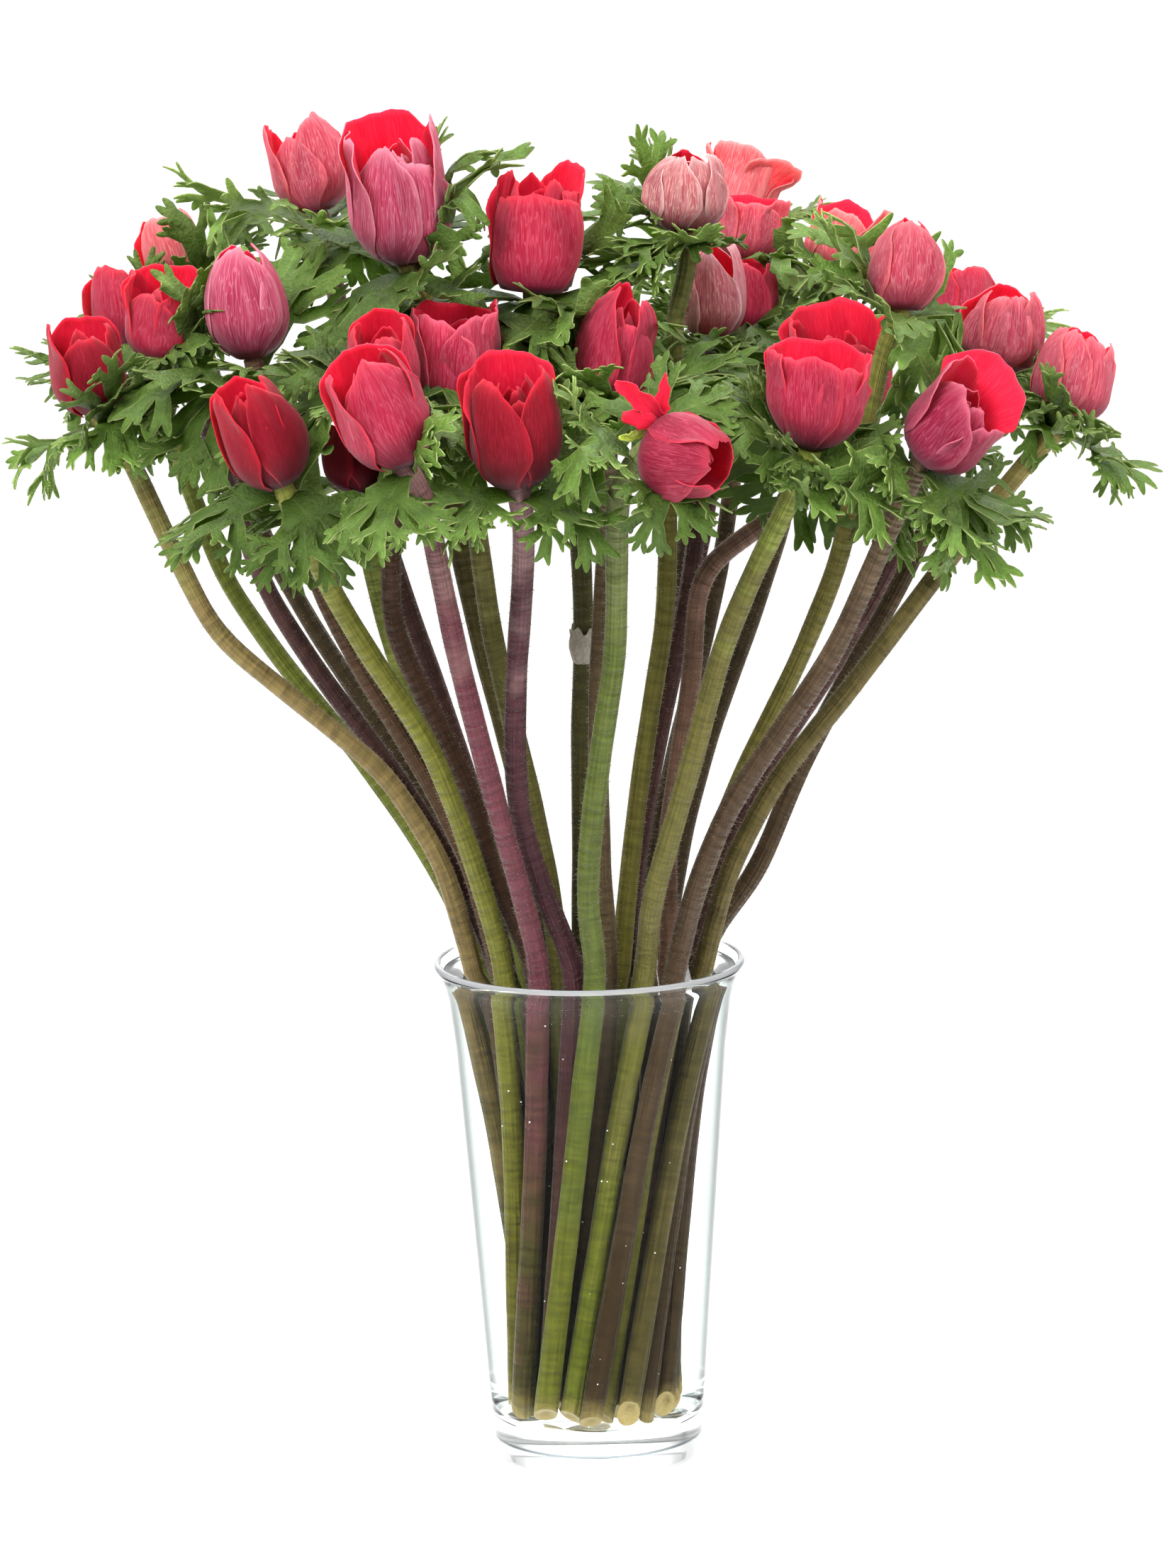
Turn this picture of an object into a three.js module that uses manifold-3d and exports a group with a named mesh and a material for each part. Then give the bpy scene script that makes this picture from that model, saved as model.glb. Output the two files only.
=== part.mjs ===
// A sheaf of red poppy anemones standing in a flared glass vase of water.
// Millimetres, +Z up, seen from -Y. The origin is the centre of the vase's foot, on the table.
//
// Every flower is two solids: a leafy stem, which is the stalk with its whorl of three cut leaves,
// and a bloom, which is one or two whorls of cupped petals round a folded heart.
import * as THREE from "three";
import { mergeVertices } from "three/addons/utils/BufferGeometryUtils.js";
import Module from "manifold-3d";

const wasm = await Module();
wasm.setup();

const V = (x, y, z) => new THREE.Vector3(x, y, z);
const UP = V(0, 0, 1);
const radians = THREE.MathUtils.degToRad;
const lerp = THREE.MathUtils.lerp;

// Vase
const VASE_HEIGHT = 180;
const VASE_SIDES = 28;
const FLOOR_Z = 15; // top of the thick glass foot
// The wall's outside and inside, from the foot up, as [radius, height].
const VASE_OUTSIDE = [[34.8, 0], [37, 2.2], [41.6, 65], [48, 150], [50.4, 168]];
const VASE_RIM = [[54.8, 179], [53.9, VASE_HEIGHT]];
const VASE_INSIDE = [[48, 167], [45.4, 150], [38.8, 65], [35, 18.5], [32.5, FLOOR_Z]];
const WATER_Z = 176; // the vase is filled almost to its rim
const GAP = 0.35; // what touching pieces keep between them
const HOLE_MARGIN = 0.46; // how much larger than its stem a hole in the water is

// Stems
const STALK_SIDES = 6;
const STEMS_IN_VASE = 2; // straight lengths between the foot and the rim
const STEMS_ABOVE = 6; // and between the rim and the leaf whorl
const FOOT_RADIUS = 27.5; // circle that the outermost feet stand on
const RIM_RADIUS = 45; // circle that the outermost stems leave the vase through
const RIM_PASS_Z = 184;
const SHEAF_TWIST = radians(-58); // how far the feet are turned behind the rim points
const SHEAF_SPREAD = 0.8; // below 1, the middle stems leave the rim further out than their heads' share
const WIDEST_HEAD = 165; // the outermost head's distance from the vase's axis
const STALK_TAPER = 0.86; // a stem's thickness under its bloom, as a share of its foot's
const STALK_CLEARANCE = 1.1; // between two stems, and between a stem and a bloom
const NECK_CLEARANCE = 2.5; // between a stem and the short neck under another's bloom
const GLASS_CLEARANCE = 1.5; // between a stem and the glass
const HEAD_SHARE = 0.56; // a bloom's widest radius with its petals' thickness, as a share of its width
const BOW_LEAVING = 0.75; // how strongly a plain bow keeps its way at the rim, as a share of its span
const BOW_ARRIVING = 1.05; // and at the whorl
const SETTLING_ROUNDS = 260;
const LAST_ROUNDS = 0.25; // share of the rounds in which bends matter less than clearance
const BEND_PULL = 0.12; // how far towards its own bends a stem is eased in a round
const LAST_BEND_PULL = 0.02;
const NARROW_BORE_Z = 164; // above this height stems keep inside the bore that the glass has here

// Leaf whorl
const LEAVES_PER_WHORL = 3;
const LOBES = 5;
const FAN_HALF_ANGLE = radians(60); // from a leaf's middle to its outermost notch
const LOBE_REACH = [0.78, 0.94, 1, 0.92, 0.76]; // share of the leaf's length
const NOTCH_REACH = 0.42;
const RIB_AT = 0.4; // where a lobe is thickest, between notch and tip
const TOOTH_AT = 0.62; // where a lobe's side teeth are
const TOOTH_SPREAD = 0.66; // how far to the side, as a share of the way to the notches' bearing
const LEAF_THICKNESS = 1.4;
const LEAF_RISE = 0.16; // how far a leaf rises at first, as a share of its length
const LEAF_ARCH = 0.3; // how far its tip hangs below that
const LEAF_CUP = 0.12; // how far its sides turn up
const LOBE_FAN = 1.12; // how much wider the lobes' tips fan out than their notches
const LEAF_ROOT_THICKNESS = 2.4;
const LEAF_ROOT_WIDTH = 3.6;
const LEAF_ROOT_REACH = 5.2; // from the stem's middle to where the leaf starts to fan out
const LEAF_CLEARANCE = 0.4;
const FAN_START = 0.22; // where the fan is felt for from, as a share of the way to the notches
const WHOLE_LEAF = 0.8; // a leaf that keeps this share of its lobes needs no better place
const LIFT_PENALTY = 0.01; // what a degree of lifting costs, in lobes

// Blooms
const RING_SIDES = 9;
const RING_STEP = 1; // how much higher each ring that petals grow from is than the last
const PETALS_PER_WHORL = 3;
const PETAL_THICKNESS = 1.3;
const OVERLAP_STEP = 0.07; // share of the radius by which one edge of a petal lies over the next petal
const PETAL_BELLY = 0.42; // where along its length a petal lies furthest out
const PETAL_BASE = 0.26; // how far out its base lies, as a share of that
const PETAL_FULLNESS = 0.8; // below 1, the belly starts lower
const BUD_PINCH = 0.62; // how far a closed bud's tips draw in
const CUP_FLARE = 0.08; // how far an open cup's tips spread
const RING_SHRINK = 0.05; // how much smaller each ring is, as a share of the bloom's radius
const BLOOM_TURN = 2.4; // turn of each next bloom about its own axis, in radians
// The heart's height and its belly's radius, each for a closed and for an open bloom.
const HEART_HEIGHT = [0.84, 0.36];
const HEART_BELLY = [0.56, 0.3];
const HEART_BELLY_AT = 0.55; // share of its height
const CROWDED_HEART = 0.8; // a heart inside two whorls is this much slimmer

// The flowers. whorl is the middle of the leaf whorl, and bloom is where the petals start. face is
// the way that the bloom points, long and wide are its petals' length and its own width, and open
// goes from 0 for a closed bud to 1 for a cup. leaf is the leaves' length, turn is the whorl's turn
// about the stem and lift is how far each leaf rises from level, both in degrees. thick is the
// stem's radius, skin and petals name its colours, and via are points that it passes on its way up
// from the rim. layers is 2 where an inner whorl of petals shows.
const FLOWERS = [
  { whorl: [-157, -20, 370], bloom: [-165, -21, 377], face: [-12, -10, 100], long: 33, wide: 25, open: 0.35,
    leaf: 40, turn: 175, lift: [-8, -28, 15], thick: 3.7, skin: "olive", petals: "scarlet",
    via: [[-46, -15, 205], [-56, -16, 237], [-94, -17, 273], [-124, -18, 297], [-140, -19, 330]] },
  { whorl: [-152, 48, 384], bloom: [-160, 48, 393], face: [-5, 10, 100], long: 30, wide: 25, open: 0.5,
    leaf: 36, turn: 60, lift: [10, 15, 0], thick: 3.7, skin: "lime", petals: "scarlet" },
  { whorl: [-132, -6, 384], bloom: [-141, -6, 393], face: [8, -14, 100],
    long: 31, wide: 29, open: 0.75, layers: 2,
    leaf: 38, turn: 205, lift: [5, 12, 20], thick: 3.7, skin: "plum", petals: "scarlet" },
  { whorl: [-107, -30, 385], bloom: [-110, -30, 396], face: [-6, 0, 100], long: 38, wide: 28, open: 0,
    leaf: 44, turn: 190, lift: [8, -30, 32], thick: 3.8, skin: "umber", petals: "mauve" },
  { whorl: [-138, 98, 398], bloom: [-142, 100, 409], face: [-30, 15, 94], long: 30, wide: 25, open: 0.4,
    leaf: 42, turn: 300, lift: [20, 0, 15], thick: 3.6, skin: "umber", petals: "coral" },
  { whorl: [-88, 60, 429], bloom: [-91, 60, 440], face: [-19, 10, 98], long: 33, wide: 28, open: 0.45,
    leaf: 46, turn: 188, lift: [12, -20, 5], thick: 3.7, skin: "plum", petals: "coral" },
  { whorl: [-50, -14, 412], bloom: [-58, -18, 427], face: [-5, -24, 97],
    long: 48, wide: 36, open: 0.5, layers: 2,
    leaf: 54, turn: 0, lift: [52, 12, -22], thick: 4, skin: "umber", petals: "crimson",
    via: [[-21, -18, 225], [-31, -16, 272], [-43, -15, 326]] },
  { whorl: [-14, -19, 405], bloom: [-15, -20, 417], face: [8, -6, 99],
    long: 43, wide: 30, open: 0.6, layers: 2,
    leaf: 46, turn: 185, lift: [4, -28, 20], thick: 3.9, skin: "olive", petals: "scarlet",
    via: [[-4, -9, 220], [-3, -13, 270], [0, -16, 322]] },
  { whorl: [40, -6, 425], bloom: [37, -5, 435], face: [7, -5, 100], long: 26, wide: 28, open: 0.05,
    leaf: 46, turn: 200, lift: [15, -25, 62], thick: 3.7, skin: "olive", petals: "mauve" },
  { whorl: [52, 128, 420], bloom: [56, 131, 432], face: [34, 20, 92], long: 30, wide: 30, open: 0.8,
    leaf: 44, turn: 30, lift: [5, 20, -15], thick: 3.7, skin: "umber", petals: "coral" },
  { whorl: [56, 88, 405], bloom: [61, 90, 417], face: [15, 5, 97], long: 24, wide: 24, open: 0.7,
    leaf: 40, turn: 325, lift: [5, 15, 10], thick: 3.6, skin: "plum", petals: "coral" },
  { whorl: [88, 90, 402], bloom: [91, 90, 412], face: [43, 5, 90], long: 31, wide: 27, open: 0.75,
    leaf: 42, turn: 190, lift: [30, -15, 0], thick: 3.6, skin: "umber", petals: "coral" },
  { whorl: [102, -60, 400], bloom: [108, -60, 411], face: [8, 0, 100], long: 29, wide: 24, open: 0,
    leaf: 40, turn: 165, lift: [45, 0, 5], thick: 3.7, skin: "lime", petals: "coral" },
  { whorl: [134, 62, 382], bloom: [136, 62, 393], face: [12, 10, 97], long: 24, wide: 22, open: 0.5,
    leaf: 38, turn: 310, lift: [10, 0, 10], thick: 3.6, skin: "plum", petals: "scarlet" },
  { whorl: [139, 10, 370], bloom: [145, 10, 382], face: [17, -2, 98], long: 30, wide: 28, open: 0.25,
    leaf: 40, turn: 300, lift: [8, 12, 5], thick: 3.8, skin: "umber", petals: "coral",
    via: [[50, -3, 190], [62, 0, 218], [79, 3, 256], [112, 6, 312]] },
  { whorl: [157, -10, 357], bloom: [166, -10, 367], face: [24, 5, 96], long: 32, wide: 27, open: 0.3,
    leaf: 45, turn: 350, lift: [-2, 22, -30], thick: 3.9, skin: "olive", petals: "coral",
    via: [[47, -13, 205], [65, -12, 242], [92, -12, 275], [136, -10, 332]] },
  { whorl: [107, -97, 356], bloom: [113, -101, 366], face: [58, -42, 66],
    long: 38, wide: 31, open: 0.7, layers: 2,
    leaf: 40, turn: 200, lift: [4, -14, 12], thick: 4, skin: "umber", petals: "wine",
    via: [[34, -41, 206], [50, -57, 248], [81, -72, 293]] },
  { whorl: [92, -12, 353], bloom: [92, -13, 366], face: [-8, -6, 99],
    long: 42, wide: 32, open: 0.85, layers: 2,
    leaf: 44, turn: 235, lift: [-60, -20, 12], thick: 3.8, skin: "plum", petals: "scarlet",
    via: [[27, -11, 225], [37, -11, 275], [41, -12, 318]] },
  { whorl: [71, -108, 359], bloom: [74, -110, 370], face: [-2, -12, 99],
    long: 33, wide: 30, open: 0.8, layers: 2,
    leaf: 40, turn: 180, lift: [16, -8, 26], thick: 4.1, skin: "lime", petals: "crimson",
    via: [[21, -49, 205], [35, -70, 257], [49, -88, 311]] },
  { whorl: [47, 30, 383], bloom: [48, 30, 394], face: [-5, -5, 100], long: 33, wide: 23, open: 0.1,
    leaf: 40, turn: 310, lift: [-25, 25, 0], thick: 3.7, skin: "plum", petals: "mauve" },
  { whorl: [59, 60, 380], bloom: [60, 60, 392], face: [5, 5, 99], long: 28, wide: 22, open: 0.4,
    leaf: 36, turn: 20, lift: [0, 20, 10], thick: 3.6, skin: "umber", petals: "crimson" },
  { whorl: [10, -45, 368], bloom: [9, -46, 380], face: [20, -16, 96], long: 40, wide: 26, open: 0.3,
    leaf: 42, turn: 165, lift: [12, -25, 15], thick: 3.9, skin: "umber", petals: "crimson",
    via: [[1, -27, 224], [3, -35, 274], [7, -38, 310]] },
  { whorl: [12, -129, 364], bloom: [20, -135, 371], face: [72, -62, -8],
    long: 33, wide: 31, open: 0.3, layers: 2,
    leaf: 40, turn: 190, lift: [8, -26, 12], thick: 4.2, skin: "lime", petals: "crimson",
    via: [[0, -58, 215], [5, -80, 264], [12, -104, 314]] },
  { whorl: [-18, -117, 351], bloom: [-20, -120, 362], face: [-5, -17, 98],
    long: 40, wide: 29, open: 0.5, layers: 2,
    leaf: 39, turn: 205, lift: [-6, -8, 22], thick: 4.1, skin: "plum", petals: "scarlet",
    via: [[-21, -52, 225], [-24, -75, 275], [-20, -95, 320]] },
  { whorl: [-38, -50, 366], bloom: [-41, -51, 378], face: [0, -5, 100], long: 36, wide: 29, open: 0.8,
    leaf: 42, turn: 65, lift: [12, 12, -25], thick: 3.9, skin: "olive", petals: "wine" },
  { whorl: [-60, -74, 373], bloom: [-63, -76, 385], face: [-4, -14, 98], long: 29, wide: 23, open: 0.45,
    leaf: 36, turn: 170, lift: [25, 10, 0], thick: 3.8, skin: "umber", petals: "scarlet",
    via: [[-32, -32, 213], [-42, -46, 258], [-64, -57, 303]] },
  { whorl: [-50, -126, 361], bloom: [-57, -131, 371], face: [-32, -26, 90],
    long: 39, wide: 31, open: 0.35, layers: 2,
    leaf: 40, turn: 0, lift: [58, 10, -28], thick: 4.1, skin: "plum", petals: "crimson",
    via: [[-22, -60, 220], [-33, -82, 268], [-44, -105, 320]] },
  { whorl: [-93, -99, 350], bloom: [-97, -101, 361], face: [-34, -14, 93], long: 37, wide: 26, open: 0.2,
    leaf: 40, turn: 180, lift: [-2, -30, 4], thick: 4, skin: "lime", petals: "crimson",
    via: [[-37, -45, 225], [-50, -63, 267], [-76, -79, 310]] },
  { whorl: [-74, -34, 338], bloom: [-75, -33, 350], face: [-10, 8, 98], long: 25, wide: 22, open: 0.4,
    leaf: 36, turn: 90, lift: [5, -5, 10], thick: 3.7, skin: "lime", petals: "wine" },
];

// Colours
const COLOURS = {
  glass: { color: 0xdfe8ea, roughness: 0.05, metalness: 0, transparent: true, opacity: 0.35 },
  water: { color: 0xeef4f2, roughness: 0.03, metalness: 0, transparent: true, opacity: 0.25 },
  lime: { color: 0x7d8f3a, roughness: 0.65, metalness: 0 },
  olive: { color: 0x6e743c, roughness: 0.65, metalness: 0 },
  umber: { color: 0x5f6a3c, roughness: 0.68, metalness: 0 },
  plum: { color: 0x5e5a40, roughness: 0.68, metalness: 0 },
  scarlet: { color: 0xbd1a26, roughness: 0.55, metalness: 0 },
  crimson: { color: 0xa51f36, roughness: 0.55, metalness: 0 },
  coral: { color: 0xcf4a5c, roughness: 0.55, metalness: 0 },
  mauve: { color: 0xae5f7c, roughness: 0.6, metalness: 0 },
  wine: { color: 0x8a2144, roughness: 0.58, metalness: 0 },
};

// A closed solid from corner points and triangles, turned to face out.
function solidOf(points, triangles) {
  const make = (faces) =>
    new wasm.Manifold(
      new wasm.Mesh({
        numProp: 3,
        vertProperties: new Float32Array(points.flatMap((p) => [p.x, p.y, p.z])),
        triVerts: new Uint32Array(faces.flat()),
      }),
    );
  const made = make(triangles);
  return made.volume() > 0 ? made : make(triangles.map(([a, b, c]) => [a, c, b]));
}

// The same from a three.js geometry whose seams are open. Faces with no area are dropped.
function solidOfGeometry(geometry) {
  geometry.deleteAttribute("normal");
  geometry.deleteAttribute("uv");
  const merged = mergeVertices(geometry, 1e-3);
  const place = merged.getAttribute("position");
  const points = [];
  for (let i = 0; i < place.count; i++) points.push(V().fromBufferAttribute(place, i));
  const triangles = [];
  for (let i = 0; i < merged.index.count; i += 3) {
    const [a, b, c] = merged.index.array.subarray(i, i + 3);
    if (a !== b && b !== c && c !== a) triangles.push([a, b, c]);
  }
  return solidOf(points, triangles);
}

// The geometry that a mesh shows, from a solid.
function geometryOf(solid) {
  const mesh = solid.getMesh();
  const geometry = new THREE.BufferGeometry();
  geometry.setAttribute("position", new THREE.BufferAttribute(new Float32Array(mesh.vertProperties), 3));
  geometry.setIndex(new THREE.BufferAttribute(mesh.triVerts, 1));
  geometry.computeVertexNormals();
  return geometry;
}

function meshOf(name, solid, colour) {
  const mesh = new THREE.Mesh(geometryOf(solid), new THREE.MeshStandardMaterial(COLOURS[colour]));
  mesh.name = name;
  return mesh;
}

// The largest body of a solid that a cut may have left in several.
function largestBody(solid) {
  const bodies = solid.decompose();
  return bodies.reduce((best, body) => (body.volume() > best.volume() ? body : best));
}

// The vase's inner radius at a height.
function boreAt(z) {
  const wall = [...VASE_INSIDE].reverse().concat([VASE_RIM[VASE_RIM.length - 1]]);
  for (let i = 1; i < wall.length; i++) {
    const [[r0, z0], [r1, z1]] = [wall[i - 1], wall[i]];
    if (z <= z1) return lerp(r0, r1, Math.max(0, (z - z0) / (z1 - z0)));
  }
  return wall[wall.length - 1][0];
}

function lathe(profile, sides) {
  return new THREE.LatheGeometry(
    profile.map(([r, z]) => new THREE.Vector2(r, z)),
    sides,
  ).rotateX(Math.PI / 2);
}

function vaseSolid() {
  const profile = [[0, 0], ...VASE_OUTSIDE, ...VASE_RIM, ...VASE_INSIDE, [0, FLOOR_Z]];
  return solidOfGeometry(lathe(profile, VASE_SIDES));
}

// The line that a stem follows before the stems settle against each other: from its foot on the
// vase's floor, twisted round the sheaf, out through the rim, and up to its leaf whorl.
function firstLine(flower) {
  const whorl = V(...flower.whorl);
  const bearing = Math.atan2(whorl.y, whorl.x);
  const share = Math.min(1, Math.pow(Math.hypot(whorl.x, whorl.y) / WIDEST_HEAD, SHEAF_SPREAD));
  const rim = V(Math.cos(bearing), Math.sin(bearing), 0).multiplyScalar(RIM_RADIUS * share).setZ(RIM_PASS_Z);
  const footBearing = bearing + SHEAF_TWIST;
  const foot = V(Math.cos(footBearing), Math.sin(footBearing), 0).multiplyScalar(FOOT_RADIUS * share);
  foot.setZ(FLOOR_Z + GAP);
  const line = [];
  for (let i = 0; i < STEMS_IN_VASE; i++) line.push(foot.clone().lerp(rim, i / STEMS_IN_VASE));
  const via = flower.via?.map((p) => V(...p)) ?? plainBow(foot, rim, whorl);
  return [...line, ...evenly(smooth([foot, rim, ...via, whorl, V(...flower.bloom)]), STEMS_ABOVE)];
}

// Many points of a smooth curve through all but the first and last of some points.
function smooth(marks) {
  const curve = new THREE.CatmullRomCurve3(marks);
  const [from, to] = [1 / (marks.length - 1), (marks.length - 2) / (marks.length - 1)];
  return Array.from({ length: 101 }, (_, i) => curve.getPoint(lerp(from, to, i / 100)));
}

// Points at equal distances along a fine line, one more than the number of lengths.
function evenly(fine, lengths) {
  const path = new THREE.CurvePath();
  for (let i = 1; i < fine.length; i++) path.add(new THREE.LineCurve3(fine[i - 1], fine[i]));
  return path.getSpacedPoints(lengths);
}

// Two points of a smooth bow that leaves the rim as the stem did in the vase and arrives upright.
function plainBow(foot, rim, whorl) {
  const span = rim.distanceTo(whorl);
  const leaving = rim.clone().sub(foot).normalize().multiplyScalar(span * BOW_LEAVING);
  const arriving = UP.clone().multiplyScalar(span * BOW_ARRIVING);
  return [1 / 3, 2 / 3].map((t) =>
    rim.clone().multiplyScalar(2 * t ** 3 - 3 * t ** 2 + 1)
      .addScaledVector(leaving, t ** 3 - 2 * t ** 2 + t)
      .addScaledVector(whorl, 3 * t ** 2 - 2 * t ** 3)
      .addScaledVector(arriving, t ** 3 - t ** 2),
  );
}

// The nearest points of two straight lengths, as the shares s and t along them.
function nearest(a, b, c, d) {
  const u = b.clone().sub(a);
  const v = d.clone().sub(c);
  const w = a.clone().sub(c);
  const uu = u.dot(u);
  const uv = u.dot(v);
  const vv = v.dot(v);
  const uw = u.dot(w);
  const vw = v.dot(w);
  const clamp = (x) => Math.min(1, Math.max(0, x));
  const cross = uu * vv - uv * uv;
  let s = cross > 1e-9 ? clamp((uv * vw - vv * uw) / cross) : 0.5;
  const t = clamp((uv * s + vw) / vv);
  s = clamp((uv * t - uw) / uu);
  const apart = a.clone().addScaledVector(u, s).sub(c.clone().addScaledVector(v, t));
  return { s, t, apart };
}

// Pushes two lengths apart until their middles are reach from each other. A share of 0 holds one still.
function pushApart(a, b, c, d, reach, shareAB, shareCD) {
  const { s, t, apart } = nearest(a, b, c, d);
  const length = apart.length();
  if (length >= reach) return;
  const push = length > 1e-6 ? apart.multiplyScalar((reach - length) / length) : V(reach, 0, 0);
  a.addScaledVector(push, shareAB * (1 - s));
  b.addScaledVector(push, shareAB * s);
  c.addScaledVector(push, -shareCD * (1 - t));
  d.addScaledVector(push, -shareCD * t);
}

// How far each point of a line stands off the straight between its neighbours.
function bendsOf(line) {
  return line.map((p, k) => {
    if (k === 0 || k === line.length - 1) return V(0, 0, 0);
    return line[k - 1].clone().add(line[k + 1]).multiplyScalar(0.5).sub(p);
  });
}

function easeToBends(line, bends, share) {
  for (let k = 1; k < line.length - 1; k++) {
    const wanted = line[k - 1].clone().add(line[k + 1]).multiplyScalar(0.5).sub(bends[k]);
    line[k].lerp(wanted, share);
  }
}

function keepApart(line, other, reach) {
  const last = line.length - 1;
  for (let k = 0; k < last; k++) {
    for (let m = Math.max(0, k - 2); m <= Math.min(last - 1, k + 2); m++) {
      pushApart(line[k], line[k + 1], other[m], other[m + 1], reach, 0.5, 0.5);
    }
  }
}

// Pushes a stem off another flower's bloom and off the short neck under it.
function keepOffHead(line, thick, flower) {
  const neck = V(...flower.whorl);
  const base = V(...flower.bloom);
  const tip = base.clone().addScaledVector(V(...flower.face).normalize(), flower.long);
  for (let k = STEMS_IN_VASE; k < line.length - 1; k++) {
    const offBloom = flower.wide * HEAD_SHARE + thick + STALK_CLEARANCE;
    const offNeck = flower.thick + thick + NECK_CLEARANCE;
    pushApart(line[k], line[k + 1], base.clone(), tip, offBloom, 1, 0);
    pushApart(line[k], line[k + 1], neck.clone(), base.clone(), offNeck, 1, 0);
  }
}

function keepInVase(line, thick) {
  for (let k = 0; k <= STEMS_IN_VASE; k++) {
    const p = line[k];
    const limit = Math.min(boreAt(p.z), boreAt(NARROW_BORE_Z)) - thick - GLASS_CLEARANCE;
    const reach = Math.hypot(p.x, p.y);
    if (reach > limit) p.multiply(V(limit / reach, limit / reach, 1));
  }
  line[0].z = FLOOR_Z + GAP;
  line[STEMS_IN_VASE].z = RIM_PASS_Z;
}

// Lets the stems settle: none may enter another, a bloom or the glass, each keeps its own bends,
// its foot stays on the floor and its top stays at its whorl.
function settle(flowers) {
  const lines = flowers.map(firstLine);
  const bends = lines.map(bendsOf);
  for (let round = 0; round < SETTLING_ROUNDS; round++) {
    const pull = round < SETTLING_ROUNDS * (1 - LAST_ROUNDS) ? BEND_PULL : LAST_BEND_PULL;
    lines.forEach((line, i) => easeToBends(line, bends[i], pull));
    lines.forEach((line, i) => {
      for (let j = i + 1; j < lines.length; j++) {
        keepApart(line, lines[j], flowers[i].thick + flowers[j].thick + STALK_CLEARANCE);
      }
      flowers.forEach((other, j) => j !== i && keepOffHead(line, flowers[i].thick, other));
      keepInVase(line, flowers[i].thick);
      line[line.length - 1].set(...flowers[i].whorl);
    });
  }
  return lines;
}

// The rings of corners of a tube round a line of points. The first ring is level, as a stem cut to
// stand, and the last is square to the way the tube ends.
function tubeRings(line, radii, ending) {
  let side = V(1, 0, 0);
  return line.map((p, k) => {
    const back = k > 0 ? p.clone().sub(line[k - 1]).normalize() : null;
    const ahead = k < line.length - 1 ? line[k + 1].clone().sub(p).normalize() : null;
    const along = k === 0 ? UP.clone() : ahead ? back.clone().add(ahead).normalize() : ending;
    side = side.clone().addScaledVector(along, -side.dot(along)).normalize();
    const other = along.clone().cross(side);
    return Array.from({ length: STALK_SIDES }, (_, n) => {
      const angle = (2 * Math.PI * n) / STALK_SIDES;
      return p.clone()
        .addScaledVector(side, radii[k] * Math.cos(angle))
        .addScaledVector(other, radii[k] * Math.sin(angle));
    });
  });
}

// Adds the wall between rings of corners, each given once from the bottom up.
function addWall(body, rings) {
  const indices = rings.map((ring) => addPoints(body, ring));
  for (let k = 0; k < rings.length - 1; k++) {
    indices[k].forEach((a, n) => {
      const m = (n + 1) % indices[k].length;
      const [b, c, d] = [indices[k][m], indices[k + 1][m], indices[k + 1][n]];
      body.triangles.push([a, b, c], [a, c, d]);
    });
  }
  return indices;
}

function stalkRings(flower, line, extra) {
  const face = V(...flower.face).normalize();
  const whole = [...line, V(...flower.bloom).addScaledVector(face, -GAP)];
  const radii = whole.map((_, k) => flower.thick * lerp(1, STALK_TAPER, k / (whole.length - 1)) + extra);
  return tubeRings(whole, radii, face);
}

function stalkSolid(flower, line) {
  const body = { points: [], triangles: [] };
  const walls = addWall(body, stalkRings(flower, line, 0));
  const [foot, top] = [walls[0], walls[walls.length - 1]];
  for (let n = 1; n < STALK_SIDES - 1; n++) {
    body.triangles.push([foot[0], foot[n + 1], foot[n]], [top[0], top[n], top[n + 1]]);
  }
  return solidOf(body.points, body.triangles);
}

// How far out a petal lies at a share t of its length, as a share of the bloom's half width.
function petalReach(t, open) {
  if (t < PETAL_BELLY) return lerp(PETAL_BASE, 1, (1 - (1 - t / PETAL_BELLY) ** 2) ** PETAL_FULLNESS);
  const pinch = lerp(BUD_PINCH, -CUP_FLARE, open);
  return 1 - pinch * ((t - PETAL_BELLY) / (1 - PETAL_BELLY)) ** 2;
}

// The petals' rows above their base: t is the share of the length, drop how much lower the row's
// ends are, and spread how much of the full angle it takes.
const OUTER_WHORL = {
  scale: 1,
  height: 1,
  halfAngle: radians(63),
  shift: 0,
  rows: [
    { t: 0.22, drop: 0.02, spread: 0.94 },
    { t: 0.64, drop: 0.04, spread: 1 },
    { t: 1, drop: 0.14, spread: 0.7 },
  ],
};
const INNER_WHORL = {
  scale: 0.74,
  height: 0.98,
  halfAngle: radians(55),
  shift: 1,
  rows: [
    { t: 0.5, drop: 0.02, spread: 1 },
    { t: 1, drop: 0.1, spread: 0.6 },
  ],
};

// Adds points to a body and returns their numbers in it.
function addPoints(body, points) {
  return points.map((p) => body.points.push(p) - 1);
}

// A ring of points round a bloom's middle, which petals grow from.
function ringPoints(radius, z, spin) {
  return Array.from({ length: RING_SIDES }, (_, i) => {
    const angle = spin + (2 * Math.PI * i) / RING_SIDES;
    return V(radius * Math.cos(angle), radius * Math.sin(angle), z);
  });
}

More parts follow.
